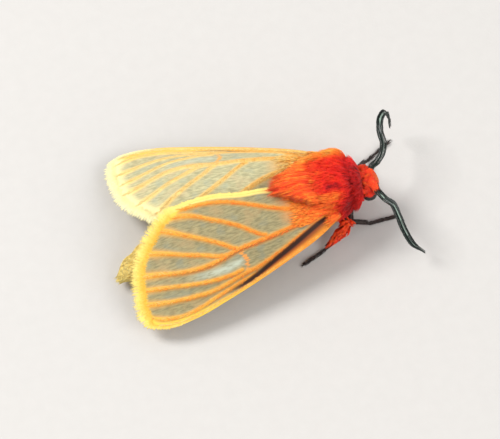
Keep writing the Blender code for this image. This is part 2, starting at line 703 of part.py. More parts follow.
def leg_hair(made, start, end, radii):
    """Short locks that lie along a piece of a leg on its outer side."""
    start, end = Vector(start), Vector(end)
    way = (end - start).normalized()
    up = (Vector((0, 0, 1)) - way * way.z).normalized()
    side = way.cross(up)
    length, width = LEG_LOCK
    hair = collection_named(made.name + "_hair")
    for place in LEG_ROWS:
        radius = float(np.interp(place, (0, 1), radii))
        for turn in LEG_TURNS:
            turn += random.uniform(-0.25, 0.25)
            out = up * math.cos(turn) + side * math.sin(turn)
            path = []
            for step, spread in zip(LOCK_STEPS, LEG_SPREAD):
                path.append(start.lerp(end, place) + way * length * step + out * (radius + spread))
            lock(path, width, LOCK_THICKNESS, out, hair)
    coated(made, hair)


def build_legs(parts):
    for (pair, side), (hip, knee, ankle, toe) in LEG_POINTS.items():
        name = f"{pair}leg_{SIDE_NAMES[side]}"
        heel = (ankle[0], ankle[1], toe[2])
        at_knee = joint_trim(hip, knee, ankle, FEMUR_RADII[1])
        at_heel = joint_trim(knee, ankle, toe, TIBIA_RADII[1])
        femur(pair, side, parts)
        shin = leg_piece(f"{name}_tibia", knee, ankle, TIBIA_RADII, (at_knee, at_heel), parts)
        if pair == HAIRY_PAIR:
            leg_hair(shin, knee, ankle, TIBIA_RADII)
        foot = leg_piece(f"{name}_tarsus", heel, toe, TARSUS_RADII, (at_heel, 0), parts)
        slice_flat(foot, (0, 0, 0), (0, 0, -1))


def build():
    clear_scene()
    random.seed(SEED)
    parts = collection_named("laterite_matron")
    build_wings(parts)
    build_head(parts)
    build_antennae(parts)
    build_thorax(parts)
    build_abdomen(parts)
    build_legs(parts)


build()
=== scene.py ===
"""The looks of a laterite matron moth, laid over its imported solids.

It is drawn in millimetres, x towards the head, y to the moth's left and z up from the floor, as the
solids are, and stored in metres about the middle of the moth's footprint.
"""

import math

import bpy
import numpy as np
from bpy.props import FloatProperty, FloatVectorProperty, IntProperty, PointerProperty
from bpy.types import Operator, Panel, PropertyGroup
from mathutils import Matrix, Vector
from mathutils.kdtree import KDTree


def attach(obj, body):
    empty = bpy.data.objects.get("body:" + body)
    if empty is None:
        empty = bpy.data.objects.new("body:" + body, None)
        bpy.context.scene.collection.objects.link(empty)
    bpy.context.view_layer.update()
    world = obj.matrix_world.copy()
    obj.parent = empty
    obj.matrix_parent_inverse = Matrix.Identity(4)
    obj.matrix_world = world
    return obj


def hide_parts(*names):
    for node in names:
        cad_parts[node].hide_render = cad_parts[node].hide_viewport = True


bl_info = {
    "name": "Laterite matron moth",
    "version": (1, 0, 0),
    "blender": (4, 5, 0),
    "location": "View3D > Sidebar > Moth",
    "description": "Wings, coat, feelers and legs of a laterite matron moth on its packed frame",
    "category": "Object",
}

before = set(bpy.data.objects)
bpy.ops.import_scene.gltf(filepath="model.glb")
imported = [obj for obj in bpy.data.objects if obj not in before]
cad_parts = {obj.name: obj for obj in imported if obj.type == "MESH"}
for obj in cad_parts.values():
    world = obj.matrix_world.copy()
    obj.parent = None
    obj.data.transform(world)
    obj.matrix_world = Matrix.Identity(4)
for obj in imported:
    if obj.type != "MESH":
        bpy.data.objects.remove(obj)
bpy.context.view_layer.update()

MM = 0.001
MIDDLE = np.array([-1.08, 0.0, 0.0])
RIGHT = -1
LEFT = 1
SIDE_NAMES = {RIGHT: "right", LEFT: "left"}
UP = np.array([0.0, 0.0, 1.0])

# Body, as its solids have it
HEAD_CENTRE = np.array([9.2, 0.0, 3.85])
HEAD_RADII = np.array([1.15, 1.2, 1.2])
HEAD_COAT_RADII = np.array([1.32, 1.5, 1.5])
EYE_RADII = (0.68, 0.544, 0.714)
EYE_PLACE = (9.42, 1.12, 3.6)
PALP_PATH = ((10.0, 0.42, 2.75), (10.3, 0.46, 2.95), (10.65, 0.48, 3.2), (10.85, 0.48, 3.6))
PALP_RADII = (0.2, 0.24, 0.26, 0.12)
PALP_SHARE = 0.45
THORAX_CENTRE = np.array([5.4, 0.0, 4.3])
THORAX_RADII = np.array([3.0, 2.5, 2.2])
THORAX_COAT_CENTRE = np.array([5.2, 0.0, 4.5])
THORAX_COAT_RADII = np.array([3.7, 3.5, 3.1])
TUFT_ROOT = np.array([4.2, 0.0, 5.85])
TUFT_TIP = np.array([-0.3, -0.3, 7.15])
TUFT_HALF_ROOT = np.array([-0.2, 2.0, -0.25])
TUFT_HALF_TIP = np.array([2.3, 2.4, -0.35])
ABDOMEN_LINE = (
    (3.3, 0.0, 3.8), (0.5, 0.1, 2.75), (-2.5, 0.3, 2.0), (-6.0, 0.15, 1.78), (-9.5, -0.7, 1.62),
    (-12.0, -1.85, 1.36), (-13.6, -2.65, 1.15), (-14.6, -3.15, 1.05),
)
ABDOMEN_RADII = (1.1, 1.5, 1.85, 1.82, 1.66, 1.38, 1.05, 0.5)
ABDOMEN_COAT = 0.34
RINGS = 9
RING_DEPTH = 0.05
SKIN_VOXEL = 0.00011

# Wings, as their solids have them
HINGE = np.array([6.0, 2.69, 5.15])
LEFT_WING_DROP = 0.55
WING_SPREAD = math.radians(6.4)
WING_DROOP = math.radians(7.2)
WING_ROOF = math.radians(13.8)
WING_LENGTH = 20.5
HINDWING_BELOW = 1.05
VAULT = 1.15
VAULT_ALONG = (
    (0.0, 0.0), (0.15, 0.7), (0.33, 1.1), (0.5, 1.15), (0.62, 1.05), (0.7, 0.9), (0.8, 0.5),
    (0.9, 0.15), (1.0, 0.0),
)
VAULT_ACROSS = {
    RIGHT: (
        (0.0, 0.0), (0.1, 0.12), (0.2, 0.5), (0.35, 0.9), (0.5, 1.0), (0.7, 1.12), (0.85, 1.15),
        (1.0, 1.08),
    ),
    LEFT: (
        (0.0, 0.0), (0.1, 0.12), (0.2, 0.5), (0.35, 0.9), (0.5, 1.0), (0.7, 1.08), (0.82, 0.9),
        (1.0, 0.2),
    ),
}

# A wing line is (distance along the wing where its vein starts, the vein's width against the
# common one, its points). A point is (along the wing from the hinge, across to the hind edge).
NO_VEIN = 99.0
FOREWING_LINES = (
    (NO_VEIN, 1.0, (
        (0, -0.8), (2.5, -1.9), (5.5, -2.8), (9, -3.7), (12.5, -4.45), (15.5, -4.95), (17.5, -4.95),
        (19.2, -4.55), (20.35, -3.75),
    )),
    (9.0, 0.8, (
        (0, -0.68), (3, -1.5), (6, -2.4), (9, -2.95), (10.7, -3.25), (13.5, -3.85), (15, -4.2),
        (17, -4.3), (18.6, -3.95), (20.55, -2.9),
    )),
    (0.0, 0.95, (
        (0, -0.55), (2, -0.75), (3.9, -1.15), (5.6, -1.7), (7.3, -2.2), (8.5, -2.5), (10.5, -2.75),
        (12, -3.05), (13.6, -3.2), (15.1, -3.1), (17.3, -2.75), (20.5, -1.95),
    )),
    (10.2, 0.85, (
        (0, -0.45), (3.6, -0.95), (6.5, -1.55), (9.3, -2.1), (10.2, -2.35), (12, -2.45),
        (13.6, -2.3), (15.3, -1.95), (17.1, -1.45), (20.2, -0.65),
    )),
    (NO_VEIN, 1.0, (
        (0, -0.35), (3.6, -0.8), (6.5, -1.15), (9, -1.3), (10.2, -1.25), (11.3, -1.2), (12.3, -1.2),
        (14.4, -0.75), (16.3, -0.05), (18, 0.55), (19.75, 0.9),
    )),
    (10.8, 1.0, (
        (0, -0.25), (3.6, -0.6), (6.5, -0.78), (9.3, -0.78), (10.4, -0.75), (11.5, -0.65),
        (13.1, 0.05), (14.6, 0.7), (16, 1.4), (18.7, 2.55),
    )),
    (10.0, 1.0, (
        (0, -0.1), (3.6, -0.3), (6.5, -0.42), (9, -0.45), (10.15, -0.4), (11, 0.3), (12.75, 1.55),
        (14.2, 2.5), (15.5, 3.4), (16.9, 4.2),
    )),
    (7.1, 0.95, (
        (0, 0.0), (3.6, 0.05), (6, -0.1), (7.25, -0.15), (8, 0.4), (8.8, 1.15), (10.3, 2.25),
        (11.5, 3.0), (12.6, 3.7), (13.8, 4.2), (16.1, 4.6),
    )),
    (0.0, 1.0, (
        (0, 0.15), (1.2, 0.45), (3.2, 1.0), (4.5, 1.4), (5.8, 1.98), (7.5, 2.92), (9.5, 3.93),
        (11.5, 4.52), (13.3, 4.78), (15.4, 4.85),
    )),
)
# What the scene alone draws on a forewing, as (along, across) points
STEM = (
    (0.0, 0.0), (1.33, 0.0), (3.7, -0.24), (6.0, -0.44), (8.0, -0.55), (9.86, -0.6), (10.54, -0.68),
    (11.36, -0.84), (13.04, -1.0), (14.9, -0.8), (16.06, -0.5), (17.4, -0.06), (18.74, 0.32),
    (19.95, 0.62),
)
DISCAL_BAR = ((9.75, -1.0), (9.5, -1.45), (9.6, -2.0), (9.7, -2.5))
PALE_STREAK = ((10.1, -1.65), (11.5, -1.78), (12.7, -1.74), (14.0, -1.62), (15.7, -1.2))
FURROW = (
    (0.3, -0.3), (1.56, -0.53), (3.04, -1.04), (4.13, -1.43), (6.96, -2.37), (9.87, -3.32),
    (12.49, -3.79), (15.12, -4.07),
)
HIND_EDGES = {
    RIGHT: (
        (0, 0.3), (1.5, 1.15), (3, 2.35), (4.5, 3.25), (6, 3.78), (7.7, 4.07), (10.5, 4.85),
        (13, 5.1), (14.8, 5.0),
    ),
    LEFT: (
        (0, 0.3), (1.5, 0.75), (3, 1.5), (4.5, 2.5), (6, 3.4), (7.7, 4.0), (10.5, 4.85), (13, 5.1),
        (14.8, 5.0),
    ),
}
HINDWING_LINES = (
    (NO_VEIN, 1.0, ((1.8, -0.8), (5, -2.3), (9, -3.1), (13, -3.3), (15.2, -2.8), (16.4, -1.8))),
    (1.8, 0.8, ((1.8, -0.4), (5, -1.2), (9, -1.4), (13, -1.3), (16.6, -0.8))),
    (1.8, 0.8, ((1.8, 0.0), (5, 0.0), (9, 0.1), (13, 0.2), (16.2, 0.4))),
    (NO_VEIN, 1.0, ((1.8, 0.45), (3, 0.75), (6, 1.1), (9, 1.25), (12, 1.4), (14.6, 1.4))),
)
FOREWING_NET = (190, 118)
FOREWING_INSET = 0.022
HINDWING_NET = (90, 46)
HINDWING_INSET = 0.03
WING_MAP_SPAN = 22.0
WING_MAP_DROP = 6.0

# How high a hair stands, from root to tip. On the wings it is over the sheet, and on the body it
# is a share of the way from the skin to the outside of the coat.
FRINGE_LIFTS = (0.042, 0.07, 0.075, 0.05)
VEIN_HAIR_LIFTS = ((0.0, 0.045), (0.5, 0.072), (1.0, 0.06))
THORAX_RISE = (-0.1, 0.45, 0.85, 1.0)
HEAD_RISE = (-0.15, 0.5, 0.9, 1.05)
BROW_RISE = (-0.2, 0.6, 0.9, 0.7)
ABDOMEN_RISE = (-0.15, 0.6, 0.95, 1.05)
PALP_RISE = (0.6, 0.9, 1.0, 1.0)

# Tufts and the hairs in each, or hairs in all, and the width of a tooth of the fringe
COLLAR_TUFTS = (500, 11)
BROW_TUFTS = (75, 12)
LEG_LOCKS = (160, 17)
REAR_STRANDS = 6100
REAR_LOCKS = 120
FORELOCK_HAIRS = {RIGHT: 620, LEFT: 420}
PALP_HAIRS = 500
LEG_HAIRS = 700
TOOTH = 0.27

# Feelers and legs, as their solids have them
FEELER_ROUTES = {
    RIGHT: (
        (9.6, -0.5, 4.5), (9.85, -0.62, 4.8), (9.98, -1.3, 4.75), (10.47, -2.25, 4.5),
        (11.0, -3.12, 4.7), (11.27, -4.35, 4.5), (11.49, -5.41, 4.0), (12.03, -6.43, 2.9),
        (13.3, -6.78, 1.0),
    ),
    LEFT: (
        (9.55, 0.5, 4.5), (9.8, 0.62, 4.8), (10.05, 1.0, 4.72), (10.6, 1.45, 4.6),
        (11.24, 2.04, 4.8), (11.61, 2.81, 5.2), (11.61, 4.0, 5.6), (11.91, 5.24, 5.6),
        (12.56, 6.21, 5.0), (13.02, 6.37, 3.8), (13.25, 6.27, 2.0),
    ),
}
LEG_POINTS = {
    ("fore", RIGHT): ((7.5, -1.25, 2.45), (7.35, -2.3, 1.35), (9.0, -2.35, 0.55), (11.9, -2.1, 0.24)),
    ("fore", LEFT): ((7.7, 1.3, 2.5), (9.0, 2.6, 1.9), (10.4, 4.05, 0.5), (13.3, 5.9, 0.24)),
    ("mid", RIGHT): ((6.2, -1.45, 2.15), (6.95, -3.0, 2.15), (4.7, -4.0, 0.5), (2.1, -5.2, 0.24)),
    ("mid", LEFT): ((6.2, 1.45, 2.15), (6.75, 3.05, 2.15), (4.6, 4.2, 0.5), (2.0, 5.4, 0.24)),
    ("hind", RIGHT): ((4.3, -1.25, 2.3), (3.7, -3.0, 2.2), (0.3, -4.0, 0.5), (-3.3, -4.7, 0.24)),
    ("hind", LEFT): ((4.3, 1.25, 2.3), (3.7, 3.05, 2.2), (0.2, 4.2, 0.5), (-3.4, 4.9, 0.24)),
}

# The photograph's view: 62 degrees above the floor, from the moth's right side
VIEW_RIGHT = Vector((0.9744, -0.2250, 0.0))
VIEW_UP = Vector((0.1986, 0.8603, 0.4695))
VIEW_CENTRE = VIEW_RIGHT * -1.6135 + VIEW_UP * 0.290
VIEW_DISTANCE = 300.0
VIEW_LENS = 232.3
KEY_PLACE, KEY_SIZE = (-0.28, 0.16, 0.36), 0.22
FILL_PLACE, FILL_SIZE = (0.25, -0.30, 0.28), 0.4
LIT_SPOT = (0, 0, 0.003)
FLOOR_SIZE = 1.6


class WingSettings(PropertyGroup):
    """Sizes and colours of the four wings."""

    thickness: FloatProperty(
        name="Thickness", description="Of the wing's sheet", default=0.00011, unit="LENGTH"
    )
    vein_height: FloatProperty(
        name="Vein height", description="Rise of a vein over the sheet", default=0.00008, unit="LENGTH"
    )
    fringe_length: FloatProperty(
        name="Fringe length", description="Of the hairs on the edge", default=0.001, unit="LENGTH"
    )
    fringe_hairs: IntProperty(
        name="Fringe hairs", description="On the edge of one forewing", default=6800
    )
    vein_hairs: IntProperty(
        name="Vein hairs", description="Lying on the veins of one forewing", default=5600
    )
    base_hairs: IntProperty(
        name="Base hairs", description="Lying over the root of one forewing", default=2600
    )
    membrane: FloatVectorProperty(
        name="Membrane", description="Colour between the veins", default=(0.33, 0.285, 0.145),
        size=3, subtype="COLOR",
    )
    vein: FloatVectorProperty(
        name="Veins", description="Colour of the veins", default=(0.85, 0.26, 0.022), size=3,
        subtype="COLOR",
    )
    rim: FloatVectorProperty(
        name="Rim", description="Colour of the band along the edge", default=(0.93, 0.63, 0.07),
        size=3, subtype="COLOR",
    )


class CoatSettings(PropertyGroup):
    """Number and size of the hairs on the body."""

    thorax_tufts: IntProperty(name="Thorax tufts", description="Tufts of hair", default=1880)
    head_tufts: IntProperty(name="Head tufts", description="Tufts of hair", default=660)
    abdomen_tufts: IntProperty(name="Abdomen tufts", description="Tufts of hair", default=800)
    tuft_hairs: IntProperty(name="Hairs a tuft", description="Hairs in one tuft", default=12)
    hair_width: FloatProperty(
        name="Hair width", description="Across one hair at its widest", default=0.00009,
        unit="LENGTH", precision=5,
    )
    thorax_hair: FloatProperty(
        name="Thorax hair", description="Length of a hair", default=0.0019, unit="LENGTH"
    )


class LimbSettings(PropertyGroup):
    """Sizes and colours of the feelers, legs and eyes."""

    feeler_radius: FloatProperty(
        name="Feeler shaft", description="Radius of the shaft", default=0.00014, unit="LENGTH"
    )
    feeler_branches: IntProperty(
        name="Feeler branches", description="On each side of a feeler", default=92
    )
    feeler_colour: FloatVectorProperty(
        name="Feelers", description="Colour of the branches", default=(0.012, 0.022, 0.017), size=3,
        subtype="COLOR",
    )
    leg_colour: FloatVectorProperty(
        name="Legs", description="Colour of the legs", default=(0.022, 0.014, 0.011), size=3,
        subtype="COLOR",
    )


class StageSettings(PropertyGroup):
    """The floor and the lights."""

    floor_colour: FloatVectorProperty(
        name="Floor", description="Colour of the floor", default=(0.60, 0.58, 0.555), size=3,
        subtype="COLOR",
    )
    key_power: FloatProperty(
        name="Key light", description="Power of the large lamp", default=2.1, unit="POWER"
    )
    fill_power: FloatProperty(
        name="Fill light", description="Power of the second lamp", default=1.3, unit="POWER"
    )
    sky: FloatProperty(name="Sky", description="Strength of the light all round", default=0.6)


def unit(vectors):
    return vectors / np.maximum(np.linalg.norm(vectors, axis=-1, keepdims=True), 1e-9)


def stored(points):
    """Drawing millimetres as the metres that a mesh stores."""
    return (np.asarray(points, float) - MIDDLE) * MM


def curve_through(known, values, places):
    """The smooth curve through some values, read at each of the places."""
    known, values, places = (np.asarray(part, float) for part in (known, values, places))
    slope = np.gradient(values, known, axis=0)
    k = np.clip(np.searchsorted(known, places) - 1, 0, len(known) - 2)
    step = known[k + 1] - known[k]
    t = (places - known[k]) / step
    if values.ndim > 1:
        step, t = step[..., None], t[..., None]
    start = (1 + 2 * t) * (1 - t) ** 2 * values[k] + t * (1 - t) ** 2 * step * slope[k]
    return start + t * t * (3 - 2 * t) * values[k + 1] + t * t * (t - 1) * step * slope[k + 1]


def through(points, places):
    """The smooth curve through some (place, value) points, read at each of the places."""
    known, values = np.array(points, float).T
    return curve_through(known, values, places)


def run_along(points):
    """How far each point of a line is from its start."""
    return np.insert(np.cumsum(np.linalg.norm(np.diff(points, axis=0), axis=1)), 0, 0.0)


def smooth_path(points, places):
    """Points on the smooth curve through some, at shares of its length."""
    run = run_along(points)
    return curve_through(run, points, np.asarray(places) * run[-1])


def hump(values, centre, width):
    """A smooth bump that is 1 at its centre."""
    return np.exp(-(((values - centre) / width) ** 2))


def ease(values, low, high):
    """A smooth step from 0 at the low end to 1 at the high one."""
    t = np.clip((values - low) / (high - low), 0, 1)
    return t * t * (3 - 2 * t)


def rows_at(places, known, rows):
    """Rows that are known at some places, read at others."""
    return np.stack([np.interp(places, known, column) for column in rows.T], 1)


def softened(rows, reach):
    """Evenly spaced rows, each averaged with its neighbours."""
    window = np.full(2 * reach + 1, 1 / (2 * reach + 1))
    return np.stack([
        np.convolve(np.pad(column, reach, mode="edge"), window, "valid") for column in rows.T
    ], 1)


def heading(points, places, step=0.01):
    """The way that a smooth path runs at shares of its length."""
    return unit(smooth_path(points, places + step) - smooth_path(points, places - step))


def sides_of(way):
    """Level to the side of a way, and up from it at a right angle."""
    side = unit(np.cross(way, UP))
    return side, np.cross(side, way)


def round_way(side, top, turn):
    """Directions at turns round a way, from its top towards its side."""
    turn = turn.reshape(turn.shape + (1,) * (side.ndim - turn.ndim))
    return top * np.cos(turn) + side * np.sin(turn)


class Finish:
    """A material, with short calls that lay and link its nodes."""

    def __init__(self, name, **fixed):
        self.material = bpy.data.materials.new(name)
        self.material.use_nodes = True
        self.tree = self.material.node_tree
        self.shader = self.tree.nodes["Principled BSDF"]
        for socket, value in fixed.items():
            self.shader.inputs[socket.replace("_", " ")].default_value = value

    def node(self, kind, **inputs):
        made = self.tree.nodes.new("ShaderNode" + kind)
        for socket, value in inputs.items():
            self.feed(made.inputs[socket.replace("_", " ")], value)
        return made

    def feed(self, socket, value):
        if isinstance(value, bpy.types.NodeSocket):
            self.tree.links.new(value, socket)
        elif hasattr(value, "__len__") and len(value) == 3 and socket.type == "RGBA":
            socket.default_value = (*value, 1.0)
        else:
            socket.default_value = value

    def attribute(self, name):
        made = self.node("Attribute")
        made.attribute_name = name
        return made.outputs["Fac"]

    def place(self):
        return self.node("TexCoord").outputs["Object"]

    def noise(self, scale, detail=3.0, vector=None):
        made = self.node("TexNoise", Vector=vector or self.place(), Scale=scale, Detail=detail)
        return made.outputs["Fac"]

    def span(self, value, low, high):
        made = self.node("MapRange", Value=value, From_Min=low, From_Max=high)
        made.interpolation_type = "SMOOTHSTEP"
        return made.outputs["Result"]

    def maths(self, operation, first, second):
        made = self.node("Math")
        made.operation = operation
        self.feed(made.inputs[0], first)
        self.feed(made.inputs[1], second)
        return made.outputs[0]

    def plus(self, first, second):
        return self.maths("ADD", first, second)

    def times(self, first, second):
        return self.maths("MULTIPLY", first, second)

    def mix(self, share, first, second, blend="MIX"):
        made = self.node("Mix")
        made.data_type = "RGBA"
        made.blend_type = blend
        for index, value in ((0, share), (6, first), (7, second)):
            self.feed(made.inputs[index], value)
        return made.outputs[2]

    def ramp(self, value, stops):
        made = self.node("ValToRGB", Fac=value)
        ends = made.color_ramp.elements
        while len(ends) < len(stops):
            ends.new(0.5)
        for element, (place, colour) in zip(ends, stops):
            element.position = place
            element.color = (*colour, 1.0)
        return made.outputs["Color"]

    def colour(self, value):
        self.feed(self.shader.inputs["Base Color"], value)

    def bump(self, height, distance, strength=1.0):
        made = self.node("Bump", Height=height, Distance=distance, Strength=strength)
        self.feed(self.shader.inputs["Normal"], made.outputs["Normal"])


COAT_TONES = (
    (0.0, (0.22, 0.010, 0.008)),
    (0.16, (0.56, 0.006, 0.008)),
    (0.36, (0.92, 0.018, 0.008)),
    (0.52, (1.0, 0.065, 0.008)),
    (0.66, (1.0, 0.16, 0.012)),
    (0.80, (1.0, 0.33, 0.030)),
    (0.91, (1.0, 0.55, 0.10)),
    (1.0, (1.0, 0.76, 0.30)),
)


def coat_finish(name, root=(0.66, 0.5, 0.46)):
    """Hair whose tone runs from dark red through scarlet to pale gold, with painted shade that darkens
    it towards its root.
    """
    if name in bpy.data.materials:
        return bpy.data.materials[name]
    made = Finish(name, Roughness=0.6, Specular_IOR_Level=0.25, Sheen_Weight=0.08)
    patchy = made.times(made.maths("SUBTRACT", made.noise(1400, 4), 0.5), 0.2)
    tone = made.plus(made.attribute("tone"), patchy)
    hue = made.ramp(tone, COAT_TONES)
    # Painted shade deep in the coat: each hair darkens towards its root
    depth = made.span(made.attribute("share"), -0.15, 0.6)
    made.colour(made.mix(1.0, hue, made.mix(depth, root, (1.0, 1.0, 1.0)), "MULTIPLY"))
    return made.material


def hair_finish(name, roots, tips):
    """Hair between two colours by its tone, with two for its root and two for its tip."""
    if name in bpy.data.materials:
        return bpy.data.materials[name]
    made = Finish(name, Roughness=0.58, Specular_IOR_Level=0.3, Sheen_Weight=0.1)
    root = made.mix(made.attribute("tone"), *roots)
    tip = made.mix(made.attribute("tone"), *tips)
    made.colour(made.mix(made.span(made.attribute("share"), 0.15, 0.9), root, tip))
    return made.material


def mesh_piece(name, points, faces, material, body="root"):
    """A mesh piece from points in drawing millimetres."""
    mesh = bpy.data.meshes.new(name)
    mesh.from_pydata(stored(points), [], faces)
    mesh.update()
    made = bpy.data.objects.new(name, mesh)
    bpy.context.scene.collection.objects.link(made)
    mesh.materials.append(material)
    mesh.shade_smooth()
    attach(made, body)
    return made


def give(mesh, name, values):
    """An attribute with one value for each point, for a finish to read."""
    layer = mesh.attributes.new(name, "FLOAT", "POINT")
    layer.data.foreach_set("value", np.ascontiguousarray(values, np.float32).ravel())


def lay_map(mesh, name, places):
    """A UV map from one place for each point."""
    corners = np.empty(len(mesh.loops), np.int32)
    mesh.loops.foreach_get("vertex_index", corners)
    layer = mesh.uv_layers.new(name=name)
    layer.data.foreach_set("uv", np.ascontiguousarray(places[corners], np.float32).ravel())


HAIR_PROFILE = ((0.0, 0.75), (0.3, 1.0), (0.7, 0.72), (1.0, 0.0))
PATCH = 0.003


def hairs(name, paths, outs, widths, tones, places, material, proud=0.8):
    """One mesh of thin three-sided hairs that taper to a point.

    paths holds each hair's points, outs the way it faces, widths its half width, tones its colour
    all over or at each point, places where its root is on the coat's map, and proud the height of
    its ridge against its half width.
    """
    count, steps, _ = paths.shape
    share = np.linspace(0, 1, steps)
    way = unit(np.gradient(paths, axis=1))
    side = unit(np.cross(way, outs[:, None, :]))
    ridge = np.cross(side, way)
    half = (widths[:, None] * through(HAIR_PROFILE, share)[None, :])[..., None]
    rings = np.stack([paths - side * half, paths + side * half, paths + ridge * half * proud], 2)
    points = np.concatenate([rings[:, :-1].reshape(count, -1, 3), paths[:, -1:]], 1)
    each = 3 * (steps - 1) + 1
    pattern = [(2, 0, 1)]
    for k in range(steps - 2):
        for a, b in ((1, 0), (2, 1), (0, 2)):
            low, high = 3 * k, 3 * k + 3
            pattern += [(low + a, low + b, high + b), (low + a, high + b, high + a)]
    pattern += [(each - 4 + a, each - 4 + b, each - 1) for a, b in ((1, 0), (2, 1), (0, 2))]
    faces = (np.arange(count) * each)[:, None, None] + np.array(pattern)[None]
    made = mesh_piece(name, points.reshape(-1, 3), faces.reshape(-1, 3), material)
    ring_share = np.concatenate([np.repeat(share[:-1], 3), [1.0]])
    give(made.data, "share", np.tile(ring_share, count))
    tones = np.broadcast_to(tones if tones.ndim == 2 else tones[:, None], (count, steps))
    ring_tones = np.concatenate([np.repeat(tones[:, :-1], 3, axis=1), tones[:, -1:]], 1)
    give(made.data, "tone", np.clip(ring_tones, 0, 1))
    across = np.concatenate([np.tile([0.0, 1.0, 0.5], steps - 1), [0.5]])
    patch = np.stack([across, ring_share], 1) * PATCH
    lay_map(made.data, "OFBake", (places[:, None, :] + patch[None]).reshape(-1, 2))
    return made


def half_widths(rng, low, high, count):
    """Half widths of body hairs, between two shares of the common one."""
    return bpy.context.scene.moth_coat.hair_width / MM / 2 * rng.uniform(low, high, count)


def varied(rng, tufts, each, of_tuft, of_hair):
    """A chance difference of each hair: what its tuft shares and what is its own."""
    return rng.normal(0, of_tuft, tufts).repeat(each) + rng.normal(0, of_hair, tufts * each)


def scaled(rng, tufts, each, of_tuft, of_hair):
    """A chance size of each hair, within its tuft's limits times its own."""
    return rng.uniform(*of_tuft, tufts).repeat(each) * rng.uniform(*of_hair, tufts * each)


def drawn_together(paths, each, share, steps):
    """Paths whose tufts, of some hairs each, draw together towards their tips."""
    tufts = paths.reshape(-1, each, *paths.shape[1:])
    return paths + (tufts.mean(1).repeat(each, axis=0) - paths) * (share * steps**1.5)[:, None]


def mapped(share):
    """A share of a map's side, kept off its edge."""
    return 0.02 + 0.95 * share


def round_map(turn):
    return mapped(turn / (2 * np.pi) % 1)


def tufted(rng, surface, roots, turns, lengths, rise, per_tuft, spread, pinch, swirl, tall):
    """Paths of hairs in tufts that lie along a body and draw together towards their tips.

    surface gives the point at a place along the body, a turn round it and a rise from skin to coat.
    """
    steps = np.linspace(0, 1, len(rise))
    rise = np.array(rise)

    def lay(at, turn, length, swirl, tall):
        return surface(
            at[:, None] - length[:, None] * steps, turn[:, None] + swirl[:, None] * steps,
            rise[None] * tall[:, None],
        )

    tuft_swirl = rng.normal(0, swirl, len(roots))
    tuft_tall = rng.uniform(*tall, len(roots))
    guides = lay(roots, turns, lengths, tuft_swirl, tuft_tall)
    count = len(roots) * per_tuft
    at = roots.repeat(per_tuft) + rng.normal(0, spread[0], count)
    turn = turns.repeat(per_tuft) + rng.normal(0, spread[1], count)
    length = lengths.repeat(per_tuft) * rng.uniform(0.7, 1.12, count)
    own_tall = tuft_tall.repeat(per_tuft) * rng.uniform(0.82, 1.08, count)
    own_swirl = tuft_swirl.repeat(per_tuft) + rng.normal(0, swirl / 3, count)
    paths = lay(at, turn, length, own_swirl, own_tall)
    drawn = guides.repeat(per_tuft, axis=0)
    paths += (drawn - paths) * (pinch * steps**1.5)[None, :, None]
    outs = unit(surface(at, turn, np.ones(count)) - surface(at, turn, np.zeros(count)))
    return paths, outs, at, turn


def shell(centre, radii, coat_centre, coat_radii):
    """A surface for tufted() between two egg shapes."""

    def point(x, turn, rise):
        rise = np.broadcast_to(rise, np.broadcast(x, turn, rise).shape)
        middle = centre + (coat_centre - centre) * rise[..., None]
        size = radii + (coat_radii - radii) * rise[..., None]
        reach = np.sqrt(np.maximum(0.03, 1 - ((x - middle[..., 0]) / size[..., 0]) ** 2))
        y = middle[..., 1] + size[..., 1] * reach * np.sin(turn)
        z = middle[..., 2] + size[..., 2] * reach * np.cos(turn)
        return np.stack([np.broadcast_to(x, rise.shape), y, z], -1)

    return point


def clear_of(paths, centre, radii):
    """Which hairs stay outside an egg shape."""
    near = (((paths - np.array(centre)) / np.array(radii)) ** 2).sum(-1)
    return (near > 1).all(axis=1)


def deselect():
    bpy.ops.object.select_all(action="DESELECT")


def only(made):
    """Selects one object and makes it the active one."""
    deselect()
    made.select_set(True)
    bpy.context.view_layer.objects.active = made


def apply_all(made):
    only(made)
    for modifier in list(made.modifiers):
        bpy.ops.object.modifier_apply(modifier=modifier.name)


def settle(made, name, material=None):
    """Leaves a piece made by hand with its place in its mesh, its name and its finish."""
    only(made)
    bpy.ops.object.transform_apply(location=True, rotation=True, scale=True)
    made.name = name
    made.data.name = name
    if material:
        made.data.materials.clear()
        made.data.materials.append(material)
    made.data.shade_smooth()
    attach(made, "root")
    return made


def drawn_out(path, radii, sides=12):
    """A tube drawn out ring by ring from a disc, which turns with its path and closes at its end."""
    path = [Vector(point) for point in stored(path)]
    ways = []
    for k in range(len(path)):
        before, after = path[max(k - 1, 0)], path[min(k + 1, len(path) - 1)]
        ways.append((after - before).normalized())
    deselect()
    turned = ways[0].to_track_quat("Z", "Y").to_euler()
    bpy.ops.mesh.primitive_circle_add(
        vertices=sides, radius=radii[0] * MM, fill_type="NGON", location=path[0], rotation=turned
    )
    made = bpy.context.object
    bpy.ops.object.mode_set(mode="EDIT")
    bpy.ops.mesh.select_all(action="SELECT")
    for k in range(1, len(path)):
        bpy.ops.mesh.extrude_region_move(TRANSFORM_OT_translate={"value": path[k] - path[k - 1]})
        growth = radii[k] / radii[k - 1]
        bpy.ops.transform.resize(value=(growth,) * 3, center_override=path[k])
        bend = ways[k - 1].rotation_difference(ways[k])
        if bend.angle > 1e-4:
            axis = bend.axis
            matrix = axis.to_track_quat("Z", "Y").to_matrix()
            bpy.ops.transform.rotate(
                value=-bend.angle, orient_axis="Z", orient_type="GLOBAL", orient_matrix=matrix,
                orient_matrix_type="GLOBAL", center_override=path[k],
            )
    bpy.ops.mesh.select_all(action="SELECT")
    bpy.ops.mesh.normals_make_consistent(inside=False)
    bpy.ops.object.mode_set(mode="OBJECT")
    return made


def joined(pieces):
    deselect()
    for piece in pieces:
        piece.select_set(True)
    bpy.context.view_layer.objects.active = pieces[0]
    bpy.ops.object.join()
    return bpy.context.object


# Wings


